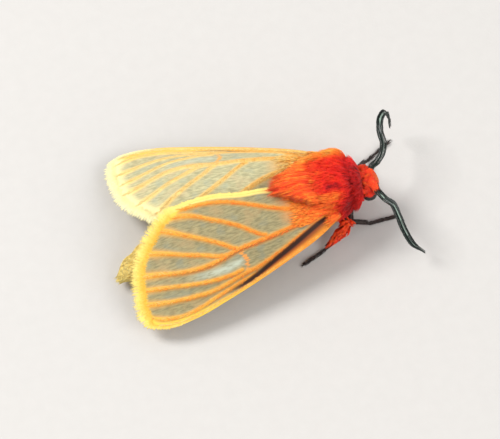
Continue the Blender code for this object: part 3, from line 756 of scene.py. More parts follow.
def wing_frame(side):
    """The wing's hinge, its direction towards the tip, across to the hind edge, and up."""
    along = np.array([
        -math.cos(WING_SPREAD) * math.cos(WING_DROOP),
        side * math.sin(WING_SPREAD) * math.cos(WING_DROOP),
        -math.sin(WING_DROOP),
    ])
    level = np.array([-math.sin(WING_SPREAD), -side * math.cos(WING_SPREAD), 0.0])
    steep = unit(UP - along * along[2])
    across = level * math.cos(WING_ROOF) + steep * math.sin(WING_ROOF)
    up = np.cross(across, along)
    up *= math.copysign(1.0, up[2])
    hinge = HINGE * (1, side, 1) - UP * (LEFT_WING_DROP if side == LEFT else 0.0)
    return hinge, along, across, unit(up)


def distance_to(spots, line):
    """How far each flat spot is from a line of points."""
    start, way = line[:-1], np.diff(line, axis=0)
    best = np.full(spots.shape[:-1], 99.0)
    for a, w in zip(start, way):
        t = np.clip(((spots - a) @ w) / (w @ w), 0, 1)
        best = np.minimum(best, np.linalg.norm(spots - a - t[..., None] * w, axis=-1))
    return best


def wing_map(spots):
    """Where flat spots of a wing are on its map."""
    return (spots + (0.0, WING_MAP_DROP)) / WING_MAP_SPAN


class WingSheet:
    """The middle surface of one wing as a net of points, with what its finish reads."""

    def __init__(self, side, lines, rows, columns, sunk, inset, vein_height):
        self.side, self.lines = side, lines
        self.fore = len(lines) > 5
        shares = np.linspace(0, 1 - inset, rows)
        spots = np.zeros((rows, len(lines), 2))
        for k, (_, _, points) in enumerate(lines):
            first, last = points[0][0], points[-1][0]
            along = first + shares * (last - first)
            spots[:, k] = np.stack([along, through(points, along)], 1)
        knots = np.arange(len(lines))
        places = np.linspace(0, len(lines) - 1, columns)
        self.flat = np.stack([curve_through(knots, row, places) for row in spots])
        along, across = self.flat[..., 0], self.flat[..., 1]
        q = (across - across[:, :1]) / (across[:, -1:] - across[:, :1])
        rise = VAULT * through(VAULT_ALONG, along / WING_LENGTH)
        rise = rise * through(VAULT_ACROSS[side], np.clip(q, 0, 1))
        self.veins = self.vein_lines()
        self.vein = np.min([distance_to(self.flat, line) / width for width, line in self.veins], 0)
        self.costa = distance_to(self.flat, self.flat[:, 0])
        self.termen = distance_to(self.flat, self.flat[-1])
        self.dorsum = distance_to(self.flat, self.flat[:, -1])
        self.furrow, self.streak, self.bar, self.flush = np.zeros((4, *along.shape))
        # Painted shade: a dark band along the lower side of each vein, strongest along the stem, where
        # the raised veins would shade the membrane
        lower = [distance_to(self.flat, line - (0.0, 0.15)) for _, line in self.veins]
        self.shade = 0.45 * hump(np.min(lower, 0), 0, 0.11)
        if self.fore:
            # The groove behind the front edge, deepest on the near wing, which the finish paints dark
            # as painted shade
            self.furrow = hump(self.gap_to(FURROW), 0, 0.29) * (1 - ease(along, 9.0, 14.5))
            self.streak = hump(self.gap_to(PALE_STREAK), 0, 0.33) * (1 - ease(along, 12.0, 16.0))
            self.bar = hump(self.gap_to(DISCAL_BAR), 0, 0.24)
            stem_shade = hump(lower[-1], 0, 0.14) * ease(along, 2.0, 5.0) * (1 - ease(along, 14.5, 18.5))
            self.shade = np.maximum(self.shade, stem_shade)
            reach = 2.5 + 2.9 * ease(q, 0.2, 0.6)
            self.flush = 1 - ease(along, reach * 0.3, reach * 1.3)
        relief = vein_height * hump(self.vein, 0, 0.18) - 0.06 * ease(self.vein, 0.1, 0.7)
        relief = relief * ease(np.minimum(self.termen - 0.6, 2 * self.dorsum), 0.1, 1.5)
        relief = relief - (0.2 if side == RIGHT else 0.03) * self.furrow
        relief = relief + 0.12 * hump(self.costa, 0.0, 0.22) * ease(self.termen, 0.2, 2.0)
        self.hinge, self.along_way, self.across_way, self.up = wing_frame(side)
        self.points = (
            self.hinge + along[..., None] * self.along_way + across[..., None] * self.across_way
            + (rise + relief - sunk)[..., None] * self.up
        )
        self.normals = unit(np.cross(*(np.gradient(self.points, axis=k) for k in (0, 1))))
        self.normals *= np.sign(self.normals @ self.up)[..., None]
        self.tree = KDTree(rows * columns)
        for k, (a, b) in enumerate(self.flat.reshape(-1, 2)):
            self.tree.insert((a, b, 0.0), k)
        self.tree.balance()

    def gap_to(self, points):
        return distance_to(self.flat, smooth_path(points, np.linspace(0, 1, 24)))

    def vein_lines(self):
        """Each vein as (width, flat points) from where it starts out to the edge."""
        found = []
        for start, width, points in self.lines:
            if start == NO_VEIN:
                continue
            run = np.linspace(max(start, points[0][0]), points[-1][0], 40)
            found.append((width, np.stack([run, through(points, run)], 1)))
        if self.fore:
            found.append((1.1, smooth_path(STEM, np.linspace(0, 1, 60))))
        return found

    def laid(self, spots, lift):
        """Points over the sheet at flat spots, with the sheet's normals there."""
        found = [self.tree.find((a, b, 0.0))[1] for a, b in spots]
        away = spots - self.flat.reshape(-1, 2)[found]
        normals = self.normals.reshape(-1, 3)[found]
        shift = away[:, :1] * self.along_way + away[:, 1:] * self.across_way
        shift -= normals * (shift * normals).sum(1, keepdims=True)
        return self.points.reshape(-1, 3)[found] + shift + normals * lift[:, None], normals

    def sheet(self, name, thickness, costal_band, material):
        """The net as a thin closed sheet, shaped from a grid."""
        rows, columns = self.points.shape[:2]
        deselect()
        bpy.ops.mesh.primitive_grid_add(x_subdivisions=columns - 1, y_subdivisions=rows - 1, size=1)
        made = bpy.context.object
        grid = np.empty(len(made.data.vertices) * 3, np.float32)
        made.data.vertices.foreach_get("co", grid)
        grid = grid.reshape(-1, 3)
        j = np.rint((grid[:, 0] + 0.5) * (columns - 1)).astype(int)
        i = np.rint((grid[:, 1] + 0.5) * (rows - 1)).astype(int)
        made.data.vertices.foreach_set("co", stored(self.points[i, j]).astype(np.float32).ravel())
        along = self.flat[..., 0]
        band = costal_band * (1 + 1.1 * ease(along, 8.0, 17.0))
        rim = np.minimum.reduce([self.termen / 0.62, self.dorsum / 0.18, self.costa / band])
        # Where the fold between the front edge and the groove gets painted shade, strongest on the
        # near forewing
        fold = np.zeros_like(along)
        if self.fore:
            front = through(FOREWING_LINES[0][2], along)
            before_fold = (self.flat[..., 1] - front) / (through(FURROW, along) - 0.1 - front)
            rim = np.minimum(rim, np.where(along < 13, before_fold + 2 * ease(along, 9, 12.5), 9))
            fold = ease(before_fold, 0.3, 0.8) * (1 - ease(before_fold, 1.05, 1.5))
            fold = fold * (1 - ease(along, 9.5, 12.5))
        vein = self.vein / (1 + 0.7 * (1 - ease(self.termen, 0.5, 3.5)))
        for word, values in (
            ("fold", fold), ("vein", vein), ("rim", rim), ("termen", self.termen),
            ("dorsum", self.dorsum), ("furrow", self.furrow), ("streak", self.streak),
            ("bar", self.bar), ("flush", self.flush), ("along", along), ("shade", self.shade),
        ):
            give(made.data, word, values[i, j])
        while made.data.uv_layers:
            made.data.uv_layers.remove(made.data.uv_layers[0])
        lay_map(made.data, "wing", wing_map(self.flat[i, j]))
        if self.side == RIGHT:
            bpy.ops.object.mode_set(mode="EDIT")
            bpy.ops.mesh.select_all(action="SELECT")
            bpy.ops.mesh.flip_normals()
            bpy.ops.object.mode_set(mode="OBJECT")
        solid = made.modifiers.new("Thickness", "SOLIDIFY")
        solid.thickness = thickness
        solid.offset = 0.0
        apply_all(made)
        return settle(made, name, material)

    def edge(self, first_share, last_share):
        """The free edge with its normals, from the front margin round the tip to the hind one."""
        rows = len(self.points)
        lines = []
        for net in (self.points, self.normals):
            front = net[int(rows * first_share):-1, 0]
            hind = net[int(rows * last_share):-1, -1][::-1]
            lines.append(np.concatenate([front, net[-1], hind]))
        return (*lines, len(front), len(net[-1]))


def blended(first, second, share):
    """A colour at a share of the way from one to another."""
    return [a + (b - a) * share for a, b in zip(first, second)]


def wing_finish(name, settings, pale):
    """Scaled membrane with orange veins, a gold rim and painted shade in the fold and furrow behind
    the front edge.
    """
    made = Finish(name, Roughness=0.6, Specular_IOR_Level=0.3, Sheen_Weight=0.08)
    read, span, plus, times = made.attribute, made.span, made.plus, made.times
    flat = made.node("UVMap")
    flat.uv_map = "wing"
    turned = made.node("Mapping", Vector=flat.outputs["UV"], Rotation=(0, 0, -0.2),
                       Scale=(1.0, 4.2, 1.0)).outputs["Vector"]
    streak, grain = made.noise(34, 4, turned), made.noise(260, 2, turned)
    cloud = made.noise(15, 3, flat.outputs["UV"])
    wavy = times(made.maths("SUBTRACT", grain, 0.5), 0.14)
    vein, along = plus(read("vein"), wavy), read("along")

    # Leans a colour towards its paler partner by pale: on the far forewing this is painted light, on
    # the hindwings their own paler colour
    def pale_and_lit(near, far):
        return blended(near, far, pale)

    def ragged(word, share):
        return plus(read(word), times(wavy, share))

    base = pale_and_lit(settings.membrane, (0.66, 0.64, 0.38))
    rim = pale_and_lit(settings.rim, (1.0, 0.62, 0.16))
    base_vein = blended(settings.vein, (1.0, 0.60, 0.14), pale * 1.3)
    tip_vein = blended((0.95, 0.50, 0.05), (1.0, 0.80, 0.32), pale * 1.3)
    tip_hue = blended((0.96, 0.63, 0.08), (1.0, 0.90, 0.46), min(1.0, 1.6 * pale))
    mottled = plus(read("bar"), times(streak, 4.0))
    skin = made.mix(span(streak, 0.3, 0.7), [c * 0.74 for c in base],
                    [min(1.0, c * 1.24) for c in base])
    for share, hue in (
        # Clouds of tan and of cool grey, the pale streak and the bar
        (times(span(cloud, 0.5, 0.72), 0.5), pale_and_lit((0.50, 0.34, 0.16), (0.74, 0.62, 0.38))),
        (times(span(cloud, 0.48, 0.3), 0.5), pale_and_lit((0.26, 0.28, 0.21), (0.52, 0.58, 0.43))),
        (times(times(read("streak"), span(streak, 0.1, 0.6)), 0.9 - 0.5 * pale),
         (0.58, 0.64, 0.52)),
        (times(span(mottled, 2.4, 3.15), span(read("bar"), 0, 0.5)),
         pale_and_lit((0.90, 0.34, 0.07), (1.0, 0.52, 0.09))),
        # The veins' soft sides, the veins and painted shade along their lower edge
        (times(span(vein, 0.44, 0.08), 0.5), blended(base_vein, tip_vein, 0.7)),
        (span(vein, 0.21 + 0.12 * pale, 0.05 + 0.03 * pale),
         made.mix(span(along, 3.0, 17.0), base_vein, tip_vein)),
        (times(read("shade"), 0.75 - 0.8 * pale), pale_and_lit((0.36, 0.10, 0.010), (0.80, 0.44, 0.12))),
        # The root, the front margin, painted shade in its fold, the tip, the hind edge and painted
        # shade in the furrow
        (span(ragged("flush", 3.0), 0.1, 0.9), pale_and_lit((0.95, 0.27, 0.02), (1.0, 0.66, 0.16))),
        (span(ragged("rim", 2.5), 1.3, 0.65),
         made.mix(span(along, 5.0, 16.0), pale_and_lit((0.86, 0.31, 0.025), rim), rim)),
        (times(read("fold"), 0.9 - 0.9 * pale), (0.28, 0.045, 0.006)),
        (span(ragged("termen", 2.0), 1.0 + 1.3 * pale, 0.25 + 0.7 * pale), tip_hue),
        (span(ragged("dorsum", 1.0), 0.4, 0.16), pale_and_lit((1.0, 0.76, 0.22), tip_hue)),
        (times(span(ragged("furrow", 1.5), 0.3, 0.9), max(0.0, 0.95 - 1.4 * pale)),
         (0.02, 0.004, 0.002)),
    ):
        skin = made.mix(share, skin, hue)
    scales = made.mix(span(grain, 0.25, 0.75), (0.80, 0.76, 0.70), (1.0, 1.0, 1.0))
    made.colour(made.mix(1.0, skin, scales, "MULTIPLY"))
    made.bump(plus(streak, times(grain, 0.7)), 0.00004, 0.5)
    return made.material


def fringe(name, sheet, settings, count, first_share, last_share, seed, reach, pale):
    """Flat hairs in overlapping rows that stand out from the free edge of a wing in small teeth."""
    rng = np.random.default_rng(seed)
    line, normals, front, tip = sheet.edge(first_share, last_share)
    run = run_along(line)
    even = np.linspace(0, run[-1], int(run[-1] / 0.1))
    places = np.sort(rng.uniform(0, 1, count)) * run[-1]
    spots, facing = rows_at(even, run, line), rows_at(even, run, normals)
    points = rows_at(places, even, softened(spots, 1))
    way = unit(rows_at(places, even, softened(unit(np.gradient(spots, axis=0)), 6)))
    normal = unit(rows_at(places, even, softened(facing, 6)))
    out = unit(np.cross(way, normal))
    out *= np.sign(((points - sheet.points.reshape(-1, 3).mean(0)) * out).sum(1))[:, None]
    index = np.interp(places, run, np.arange(len(line)))
    at_front = 1 - ease(index, front * 0.8, front + 14)
    at_hind = ease(index, front + tip - 8, front + tip + 10)
    tooth = (places / TOOTH).astype(int)
    teeth = tooth.max() + 1
    to_middle = (tooth + 0.5) * TOOTH - places
    row = rng.beta(1.0, 1.6, count)
    deep = 0.95 * row * (1 - 0.7 * at_front - 0.84 * at_hind)
    length = (0.42 + 0.38 * (1 - row)) * rng.uniform(0.8, 1.09, teeth)[tooth]
    length *= settings.fringe_length / MM * reach * rng.uniform(0.86, 1.03, count)
    length *= (1 - 0.62 * at_front - 0.5 * at_hind) * ease(index, -4, front * 0.6)
    slant = 0.55 * at_hind + 1.0 * at_front
    out = unit(out + way * rng.normal(0, 0.13, count)[:, None] + sheet.along_way * slant[:, None])
    steps = np.linspace(0, 1, 4)
    run_out = length[:, None] * steps - deep[:, None]
    drawn = (to_middle * 0.72 * (1 - at_hind))[:, None] * steps**1.5
    raised = np.array(FRINGE_LIFTS) - 0.07 * steps * (1 - row)[:, None]
    raised = raised + rng.normal(0, 0.008, count)[:, None] * steps
    paths = points[:, None] + out[:, None] * run_out[..., None] + way[:, None] * drawn[..., None]
    paths = paths + normal[:, None] * raised[..., None]
    varied = rng.normal(0, 0.05, teeth)[tooth] + rng.normal(0, 0.09, count)
    tones = ease(run_out, -0.75, 0.5) + (0.3 * at_hind - 0.12 * at_front + varied)[:, None]
    widths = rng.uniform(0.014, 0.028, count)
    outs = unit(normal + rng.normal(0, 0.3, (count, 3)))
    map_places = np.stack([mapped(places / run[-1]), mapped(row)], 1)
    pale = min(1.0, 1.6 * pale)
    inner = blended((0.96, 0.50, 0.035), (1.0, 0.86, 0.40), pale)
    outer = blended((1.0, 0.80, 0.22), (1.0, 0.93, 0.55), pale)
    finish = hair_finish(
        f"fringe_{'far' if pale > 0.2 else 'near'}", ([c * 0.96 for c in inner], outer), (inner, outer)
    )
    return hairs(name, paths, outs, widths, tones, map_places, finish, 0.4)


def vein_hairs(name, sheet, count, seed, pale, material):
    """Short flat hairs that lie along the veins and the front edge and soften them."""
    rng = np.random.default_rng(seed)
    lines = [(*vein, False) for vein in sheet.veins] + [(2.0, sheet.flat[:-9, 2], True)]
    lengths = [np.linalg.norm(np.diff(line, axis=0), axis=1).sum() * w for w, line, _ in lines]
    starts, ways, sides = [], [], []
    for (width, line, inward), part in zip(lines, np.array(lengths) / sum(lengths)):
        place = rng.uniform(0, len(line) - 1.01, int(count * part))
        k = place.astype(int)
        way = unit(np.gradient(line, axis=0))[k]
        normal = np.stack([-way[:, 1], way[:, 0]], 1)
        off = rng.normal(0, 0.065 * width, len(k))
        turned = rng.normal(0, 0.2, len(k)) + np.sign(off) * 0.1
        # How far a hair lies on its vein's lower side, where it gets painted shade
        sides.append(0 * off if inward else ease(-off, 0.01, 0.1))
        if inward:
            off, turned = np.abs(off) * 0.8, rng.normal(0.04, 0.05, len(k))
        starts.append(line[k] + (line[k + 1] - line[k]) * (place - k)[:, None] + normal * off[:, None])
        ways.append(way * np.cos(turned)[:, None] + normal * np.sin(turned)[:, None])
    starts, ways, sides = (np.concatenate(rows) for rows in (starts, ways, sides))
    clear = distance_to(starts, sheet.flat[-1]) > 0.75
    if sheet.side == RIGHT:
        clear &= distance_to(starts, smooth_path(FURROW[:-2], np.linspace(0, 1, 20))) > 0.24
    starts, ways, sides = starts[clear], ways[clear], sides[clear]
    by_front = 1 - ease(distance_to(starts, sheet.flat[:, 0]), 0.3, 0.5)
    here = len(starts)
    length = rng.uniform(0.18, 0.42, here)
    paths = np.zeros((here, 3, 3))
    for k, (step, lift) in enumerate(VEIN_HAIR_LIFTS):
        spots = starts + ways * (length * step)[:, None]
        paths[:, k], outs = sheet.laid(spots, lift + rng.normal(0, 0.005, here))
    tones = 0.75 + 0.25 * pale + 0.009 * starts[:, 0] + rng.normal(0, 0.03, here) + 0.05 * by_front
    # Painted shade: hairs on a vein's lower side are darker, most on the near forewing
    tones = np.clip(tones - (0.11 - 0.14 * pale) * sides, 0.5, 1)
    widths = rng.uniform(0.014, 0.025, here)
    return hairs(name, paths, outs, widths, tones, wing_map(starts), material, 0.35)


def base_hairs(name, sheet, count, seed, pale, material):
    """Hair that spreads from the thorax over the root of a forewing, furthest at its hind edge."""
    rng = np.random.default_rng(seed)
    rows, columns = sheet.points.shape[:2]
    column = rng.beta(1.4, 1.0, count) * 0.96 + 0.02
    reach = 0.055 + 0.2 * ease(column, 0.3, 0.7)
    depth = rng.beta(1.0, 1.6, count)
    row = depth * reach * rows
    picked = (row.astype(int), (column * (columns - 1)).astype(int))
    start = sheet.flat[picked]
    on_furrow = sheet.furrow[picked] > 0.25
    start, depth, column = start[~on_furrow], depth[~on_furrow], column[~on_furrow]
    here = len(start)
    length = rng.uniform(0.8, 1.6, here) * (1 - 0.4 * depth)
    turned = rng.normal(0.0, 0.14, here) + 0.12
    ways = np.stack([np.cos(turned), np.sin(turned) * np.sign(column - 0.45)], 1)
    paths = np.zeros((here, 4, 3))
    tall = rng.uniform(0.12, 0.34, here) * (1 - 0.5 * depth)
    for k, step in enumerate(np.linspace(0, 1, 4)):
        lift = 0.04 + tall * math.sin(math.pi * 0.72 * step)
        paths[:, k], outs = sheet.laid(start + ways * (length * step)[:, None], lift)
    tones = np.clip(0.63 + 0.15 * depth + 0.35 * pale + rng.normal(0, 0.05, here), 0.4, 1.0)
    widths = rng.uniform(0.024, 0.042, here)
    places = np.stack([0.02 + 0.9 * depth, mapped(column)], 1)
    return hairs(name, paths, outs, widths, tones, places, material, 0.65)


def bare_wing(pair, side, settings, pale, band):
    """A wing's name, and its net once the sheet made from it has its finish."""
    word = f"{pair}wing_{SIDE_NAMES[side]}"
    height = settings.vein_height / MM
    if pair == "fore":
        lines = (*FOREWING_LINES, (NO_VEIN, 1.0, HIND_EDGES[side]))
        net = WingSheet(side, lines, *FOREWING_NET, 0.0, FOREWING_INSET, height)
    else:
        net = WingSheet(side, HINDWING_LINES, *HINDWING_NET, HINDWING_BELOW, HINDWING_INSET,
                        height)
    finish = wing_finish(word, settings, pale)
    made = net.sheet(f"{word}_sheet", settings.thickness, band, finish)
    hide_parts(word)
    return word, net


class MOTH_OT_forewings(Operator):
    """Lay both forewings with their veins, fringes and the hair on them"""

    bl_idname = "moth.forewings"
    bl_label = "Forewings"

    def execute(self, context):
        settings = context.scene.moth_wings
        # Painted light: the far (left) forewing takes pale 0.6 and hair with lighter roots, as it
        # faces the key lamp; the near (right) one keeps its darker colours
        for side, pale, band, reach, hair, root in (
            (RIGHT, 0.0, 0.26, 1.0, "wing_hair", (0.84, 0.77, 0.73)),
            (LEFT, 0.6, 0.42, 0.75, "lit_wing_hair", (0.97, 0.95, 0.92)),
        ):
            word, net = bare_wing("fore", side, settings, pale, band)
            coat = coat_finish(hair, root)
            seed = 40 + side
            for piece in (
                fringe(f"{word}_fringe", net, settings, settings.fringe_hairs, 0.78, 0.3, seed,
                       reach, pale),
                vein_hairs(f"{word}_vein_hair", net, settings.vein_hairs, seed + 10, pale, coat),
                base_hairs(f"{word}_base_hair", net, settings.base_hairs, seed + 20, pale, coat),
            ):
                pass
        return {"FINISHED"}


class MOTH_OT_hindwings(Operator):
    """Lay both hindwings, which lie folded under the forewings"""

    bl_idname = "moth.hindwings"
    bl_label = "Hindwings"

    def execute(self, context):
        settings = context.scene.moth_wings
        for side in (RIGHT, LEFT):
            word, net = bare_wing("hind", side, settings, 0.7, 0.3)
            edge = fringe(f"{word}_fringe", net, settings, settings.fringe_hairs // 3, 0.7, 0.25,
                          60 + side, 0.7, 0.6)
        return {"FINISHED"}


# Body


ABDOMEN_RUN = run_along(ABDOMEN_LINE)


def abdomen_place(share, turn, rise):
    """A point on the abdomen, at a share of its length, a turn round it and a rise from the skin."""
    inside = np.clip(share, 0, 1)
    way = heading(ABDOMEN_LINE, np.minimum(inside, 0.99))
    beyond = np.maximum(share - 1, 0) * ABDOMEN_RUN[-1]
    centre = smooth_path(ABDOMEN_LINE, inside) + way * beyond[..., None]
    radius = curve_through(ABDOMEN_RUN / ABDOMEN_RUN[-1], ABDOMEN_RADII, inside)
    radius = radius * (1 - RING_DEPTH * np.cos(inside * RINGS * 2 * np.pi))
    radius = radius - ABDOMEN_COAT + ABDOMEN_COAT * rise
    radius = np.maximum(radius * np.clip(1 - (share - 0.98) * 5, 0.12, 1), 0.04)
    return centre + round_way(*sides_of(way), turn) * radius[..., None]


class MOTH_OT_body(Operator):
    """Make the one skin of head, thorax and abdomen that lies under the coat"""

    bl_idname = "moth.body"
    bl_label = "Body"

    def execute(self, context):
        pieces = []
        for centre, radii in ((THORAX_CENTRE, THORAX_RADII), (HEAD_CENTRE, HEAD_RADII)):
            deselect()
            bpy.ops.mesh.primitive_uv_sphere_add(
                segments=48, ring_count=32, radius=MM, location=stored(centre), scale=radii
            )
            bpy.ops.object.transform_apply(location=True, rotation=True, scale=True)
            pieces.append(context.object)
        pieces.append(drawn_out([(9.0, 0, 4.0), (8.2, 0, 4.1), (7.2, 0, 4.2)], (0.8, 0.85, 0.9), 24))
        shares = np.linspace(0.0, 0.985, 64)
        centres = smooth_path(ABDOMEN_LINE, shares)
        tops = abdomen_place(shares, np.zeros(64), np.zeros(64))
        radii = np.linalg.norm(tops - centres, axis=1)
        pieces.append(drawn_out(centres, radii, 32))
        skin = joined(pieces)
        remesh = skin.modifiers.new("One skin", "REMESH")
        remesh.mode = "VOXEL"
        remesh.voxel_size = SKIN_VOXEL
        smooth = skin.modifiers.new("Soften", "SMOOTH")
        smooth.factor = 0.5
        smooth.iterations = 8
        apply_all(skin)
        made = Finish("skin", Roughness=0.5, Specular_IOR_Level=0.4)
        x = made.node("SeparateXYZ", Vector=made.place()).outputs["X"]
        share = made.span(x, -0.015, 0.011)
        hue = made.ramp(share, (
            (0.0, (1.0, 0.66, 0.16)), (0.66, (0.90, 0.40, 0.05)), (0.78, (0.45, 0.02, 0.008)),
            (1.0, (0.62, 0.03, 0.010)),
        ))
        made.colour(made.mix(made.noise(2500), hue, (0.85, 0.75, 0.64), "MULTIPLY"))
        made.bump(made.noise(6000), 0.00004, 0.6)
        skin = settle(skin, "body_skin", made.material)
        only(skin)
        bpy.ops.object.mode_set(mode="EDIT")
        bpy.ops.mesh.select_all(action="SELECT")
        bpy.ops.uv.smart_project(angle_limit=1.15, island_margin=0.002)
        bpy.ops.object.mode_set(mode="OBJECT")
        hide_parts("head", "thorax", "abdomen_front", "abdomen_middle", "abdomen_rear",
                    "abdomen_tip")
        return {"FINISHED"}


def egg_map(x, turn, low, high):
    """Where a root is on an unwrap of an egg-shaped body."""
    return np.stack([mapped(np.clip((x - low) / (high - low), 0, 1)), round_map(turn)], 1)


def thorax_tone(points):
    """Crimson behind the head, scarlet in the middle, gold by the wings, with painted shade on the
    near flank and in a parting on the near side.
    """
    x, y = points[..., 0], points[..., 1]
    tone = 0.41 + 0.18 * ease(-x, -5.4, -3.4)
    tone = tone + (0.80 - tone) * ease(y, 1.3, 2.3) * ease(-x, -8.6, -7.4)
    tone = tone + (0.68 - tone) * ease(-y, 1.5, 2.1) * ease(-x, -7.0, -6.2)
    tone = tone - 0.27 * hump(x, 7.75, 0.8) * (1 - 0.6 * ease(y, 1.2, 2.4))
    # Painted shade on the near flank behind the collar
    tone = tone - 0.4 * hump(x, 6.6, 0.8) * ease(-y, 2.15, 2.7)
    # Painted shade in a parting of the coat on the near side
    parting = hump(y, -1.35, 0.34) * ease(x, 4.3, 5.2) * (1 - ease(x, 6.0, 6.9))
    return tone - 0.27 * parting


class MOTH_OT_thorax_coat(Operator):
    """Cover the thorax with tufts that lie back along it, with a collar and the long rear tuft"""

    bl_idname = "moth.thorax_coat"
    bl_label = "Thorax coat"

    def execute(self, context):
        coat = context.scene.moth_coat
        rng = np.random.default_rng(11)
        material = coat_finish("coat")
        surface = shell(THORAX_CENTRE, THORAX_RADII, THORAX_COAT_CENTRE, THORAX_COAT_RADII)
        count = coat.thorax_tufts
        roots = rng.uniform(2.9, 8.3, count)
        turns = rng.uniform(-1, 1, count)
        turns = np.pi * np.sign(turns) * np.abs(turns) ** 1.15
        below = np.abs(turns) > 2.2
        lengths = coat.thorax_hair / MM * rng.uniform(0.75, 1.15, count) * np.where(below, 0.5, 1.0)
        paths, outs, at, turn = tufted(
            rng, surface, roots, turns, lengths, THORAX_RISE, coat.tuft_hairs,
            (0.17, 0.075), 0.5, 0.11, (0.55, 1.06),
        )
        swell = 1 + 0.15 * ease(paths[..., 1], 0.8, 2.3) * hump(paths[..., 0], 7.1, 1.1)
        paths = THORAX_COAT_CENTRE + (paths - THORAX_COAT_CENTRE) * swell[..., None]
        differs = varied(rng, count, coat.tuft_hairs, 0.05, 0.03)
        tones = thorax_tone(paths) + differs[:, None]
        widths = half_widths(rng, 0.6, 1.1, len(paths))
        rows = (paths, outs, widths, tones, egg_map(at, turn, 2.0, 9.0))
        third = np.arange(len(paths)) % 3
        for k, word in enumerate(("under", "middle", "over")):
            made = hairs(f"thorax_coat_{word}", *(row[third == k] for row in rows), material)
        collar(rng, material)
        rear_tuft(rng, material)
        return {"FINISHED"}


def collar(rng, material):
    """A ruff of upright hair between the head and the wings, in small tufts that lean about."""
    tufts, each = COLLAR_TUFTS
    count = tufts * each
    tuft_turn = rng.uniform(-2.25, 2.25, tufts)
    tuft_back = rng.uniform(0, 1, tufts)
    turn = tuft_turn.repeat(each) + rng.normal(0, 0.05, count)
    back = tuft_back.repeat(each) + rng.normal(0, 0.05, count)
    lean = varied(rng, tufts, each, 0.16, 0.07) - 0.1
    swirl = varied(rng, tufts, each, 0.1, 0.04)
    top = (2.8 - 0.3 * back) * scaled(rng, tufts, each, (0.8, 1.02), (0.84, 1.03))
    low = 1.25 + 0.35 * back
    steps = np.linspace(0, 1, 4)
    radius = low[:, None] + (top - low)[:, None] * steps**0.85
    turned = turn[:, None] + swirl[:, None] * steps
    paths = np.stack([
        (8.65 - 1.1 * back)[:, None] + lean[:, None] * steps - 0.55 * steps**2,
        radius * np.sin(turned),
        radius * np.cos(turned) + THORAX_CENTRE[2],
    ], -1)
    paths = drawn_together(paths, each, 0.3, steps)
    tones = 0.17 + 0.2 * ease(np.sin(turn), 0.2, 0.9) + 0.1 * ease(-np.sin(turn), 0.5, 1.0)
    tones += varied(rng, tufts, each, 0.05, 0.03)
    widths = half_widths(rng, 0.6, 1.05, count)
    outs = unit((1.0, 0.0, 0.0) + rng.normal(0, 0.3, (count, 3)))
    places = egg_map(7.3 + back, turn, 2.0, 9.0)
    return hairs("collar", paths, outs, widths, tones, places, material)


def rear_tuft(rng, material):
    """Long hair from within the coat's back that lies in locks over the folded wings."""
    strands, tufts = REAR_STRANDS, REAR_LOCKS
    tuft = rng.integers(0, tufts, strands)
    spot = rng.uniform(-1, 1, tufts)
    start = rng.uniform(0, 0.42, tufts)
    shortened = 1 - 0.42 * ease(-spot, 0.3, 1.0) - 0.2 * ease(spot, 0.4, 1.0)
    end = rng.uniform(0.72, 1.04, tufts) * shortened
    start, end = start[tuft], end[tuft] * rng.uniform(0.86, 1.05, strands)
    across = np.clip(spot[tuft] + rng.normal(0, 0.055, strands), -1.05, 1.05)
    steps = np.array([0.0, 0.28, 0.55, 0.8, 1.0])
    reach = start[:, None] + (end - start)[:, None] * steps

    def spine(where):
        fan = np.stack([np.abs(where) ** 1.5, where, where * where], 1)
        root = TUFT_ROOT + (1.2, 0.0, 0.6) + fan * (TUFT_HALF_ROOT - (0.0, 0.0, 0.45))
        return root, TUFT_TIP + fan * (TUFT_HALF_TIP - (0.0, 0.0, 0.5))

    (root, tip), (tuft_root, tuft_tip) = spine(across), spine(spot[tuft])
    line = root[:, None] + (tip - root)[:, None] * reach[..., None]
    drawn = tuft_root[:, None] + (tuft_tip - tuft_root)[:, None] * reach[..., None]
    paths = line + (drawn - line) * (0.75 * steps**1.3)[:, None]
    sunk = np.array([-0.6, -0.12, 0.0, 0.0, -0.05]) + 0.06 - 0.95 * rng.beta(1, 2.4, strands)[:, None]
    sunk = sunk - rng.uniform(0, 0.2, tufts)[tuft][:, None] * np.array([1.0, 1.0, 0.6, 0.2, 0.0])
    paths[..., 2] += 0.72 * np.sin(np.pi * np.minimum(reach, 1) ** 0.7) + sunk
    wave = rng.normal(0, 0.05, (tufts, len(steps), 3))[tuft] * steps[:, None]
    paths += wave + rng.normal(0, 0.03, paths.shape) * steps[:, None]
    varied = rng.normal(0, 0.05, tufts)[tuft] + rng.normal(0, 0.03, strands)
    own = 0.62 + 0.18 * ease(across, 0.1, 0.9) + 0.04 * ease(-across, 0.4, 0.9)
    own = own - 0.05 * hump(across, -0.15, 0.25)
    blend = ease(reach + rng.normal(0, 0.1, tufts)[tuft][:, None], 0.2, 0.75)
    tones = thorax_tone(paths) * (1 - blend) + own[:, None] * blend + varied[:, None]
    widths = half_widths(rng, 0.55, 1.0, strands)
    outs = unit(np.stack([np.zeros(strands), 0.3 * across, np.ones(strands)], 1))
    places = np.stack([0.02 + 0.4 * rng.uniform(0, 1, strands), 0.5 + 0.45 * across / 1.1], 1)
    return hairs("rear_tuft", paths, outs, widths, tones, places, material)


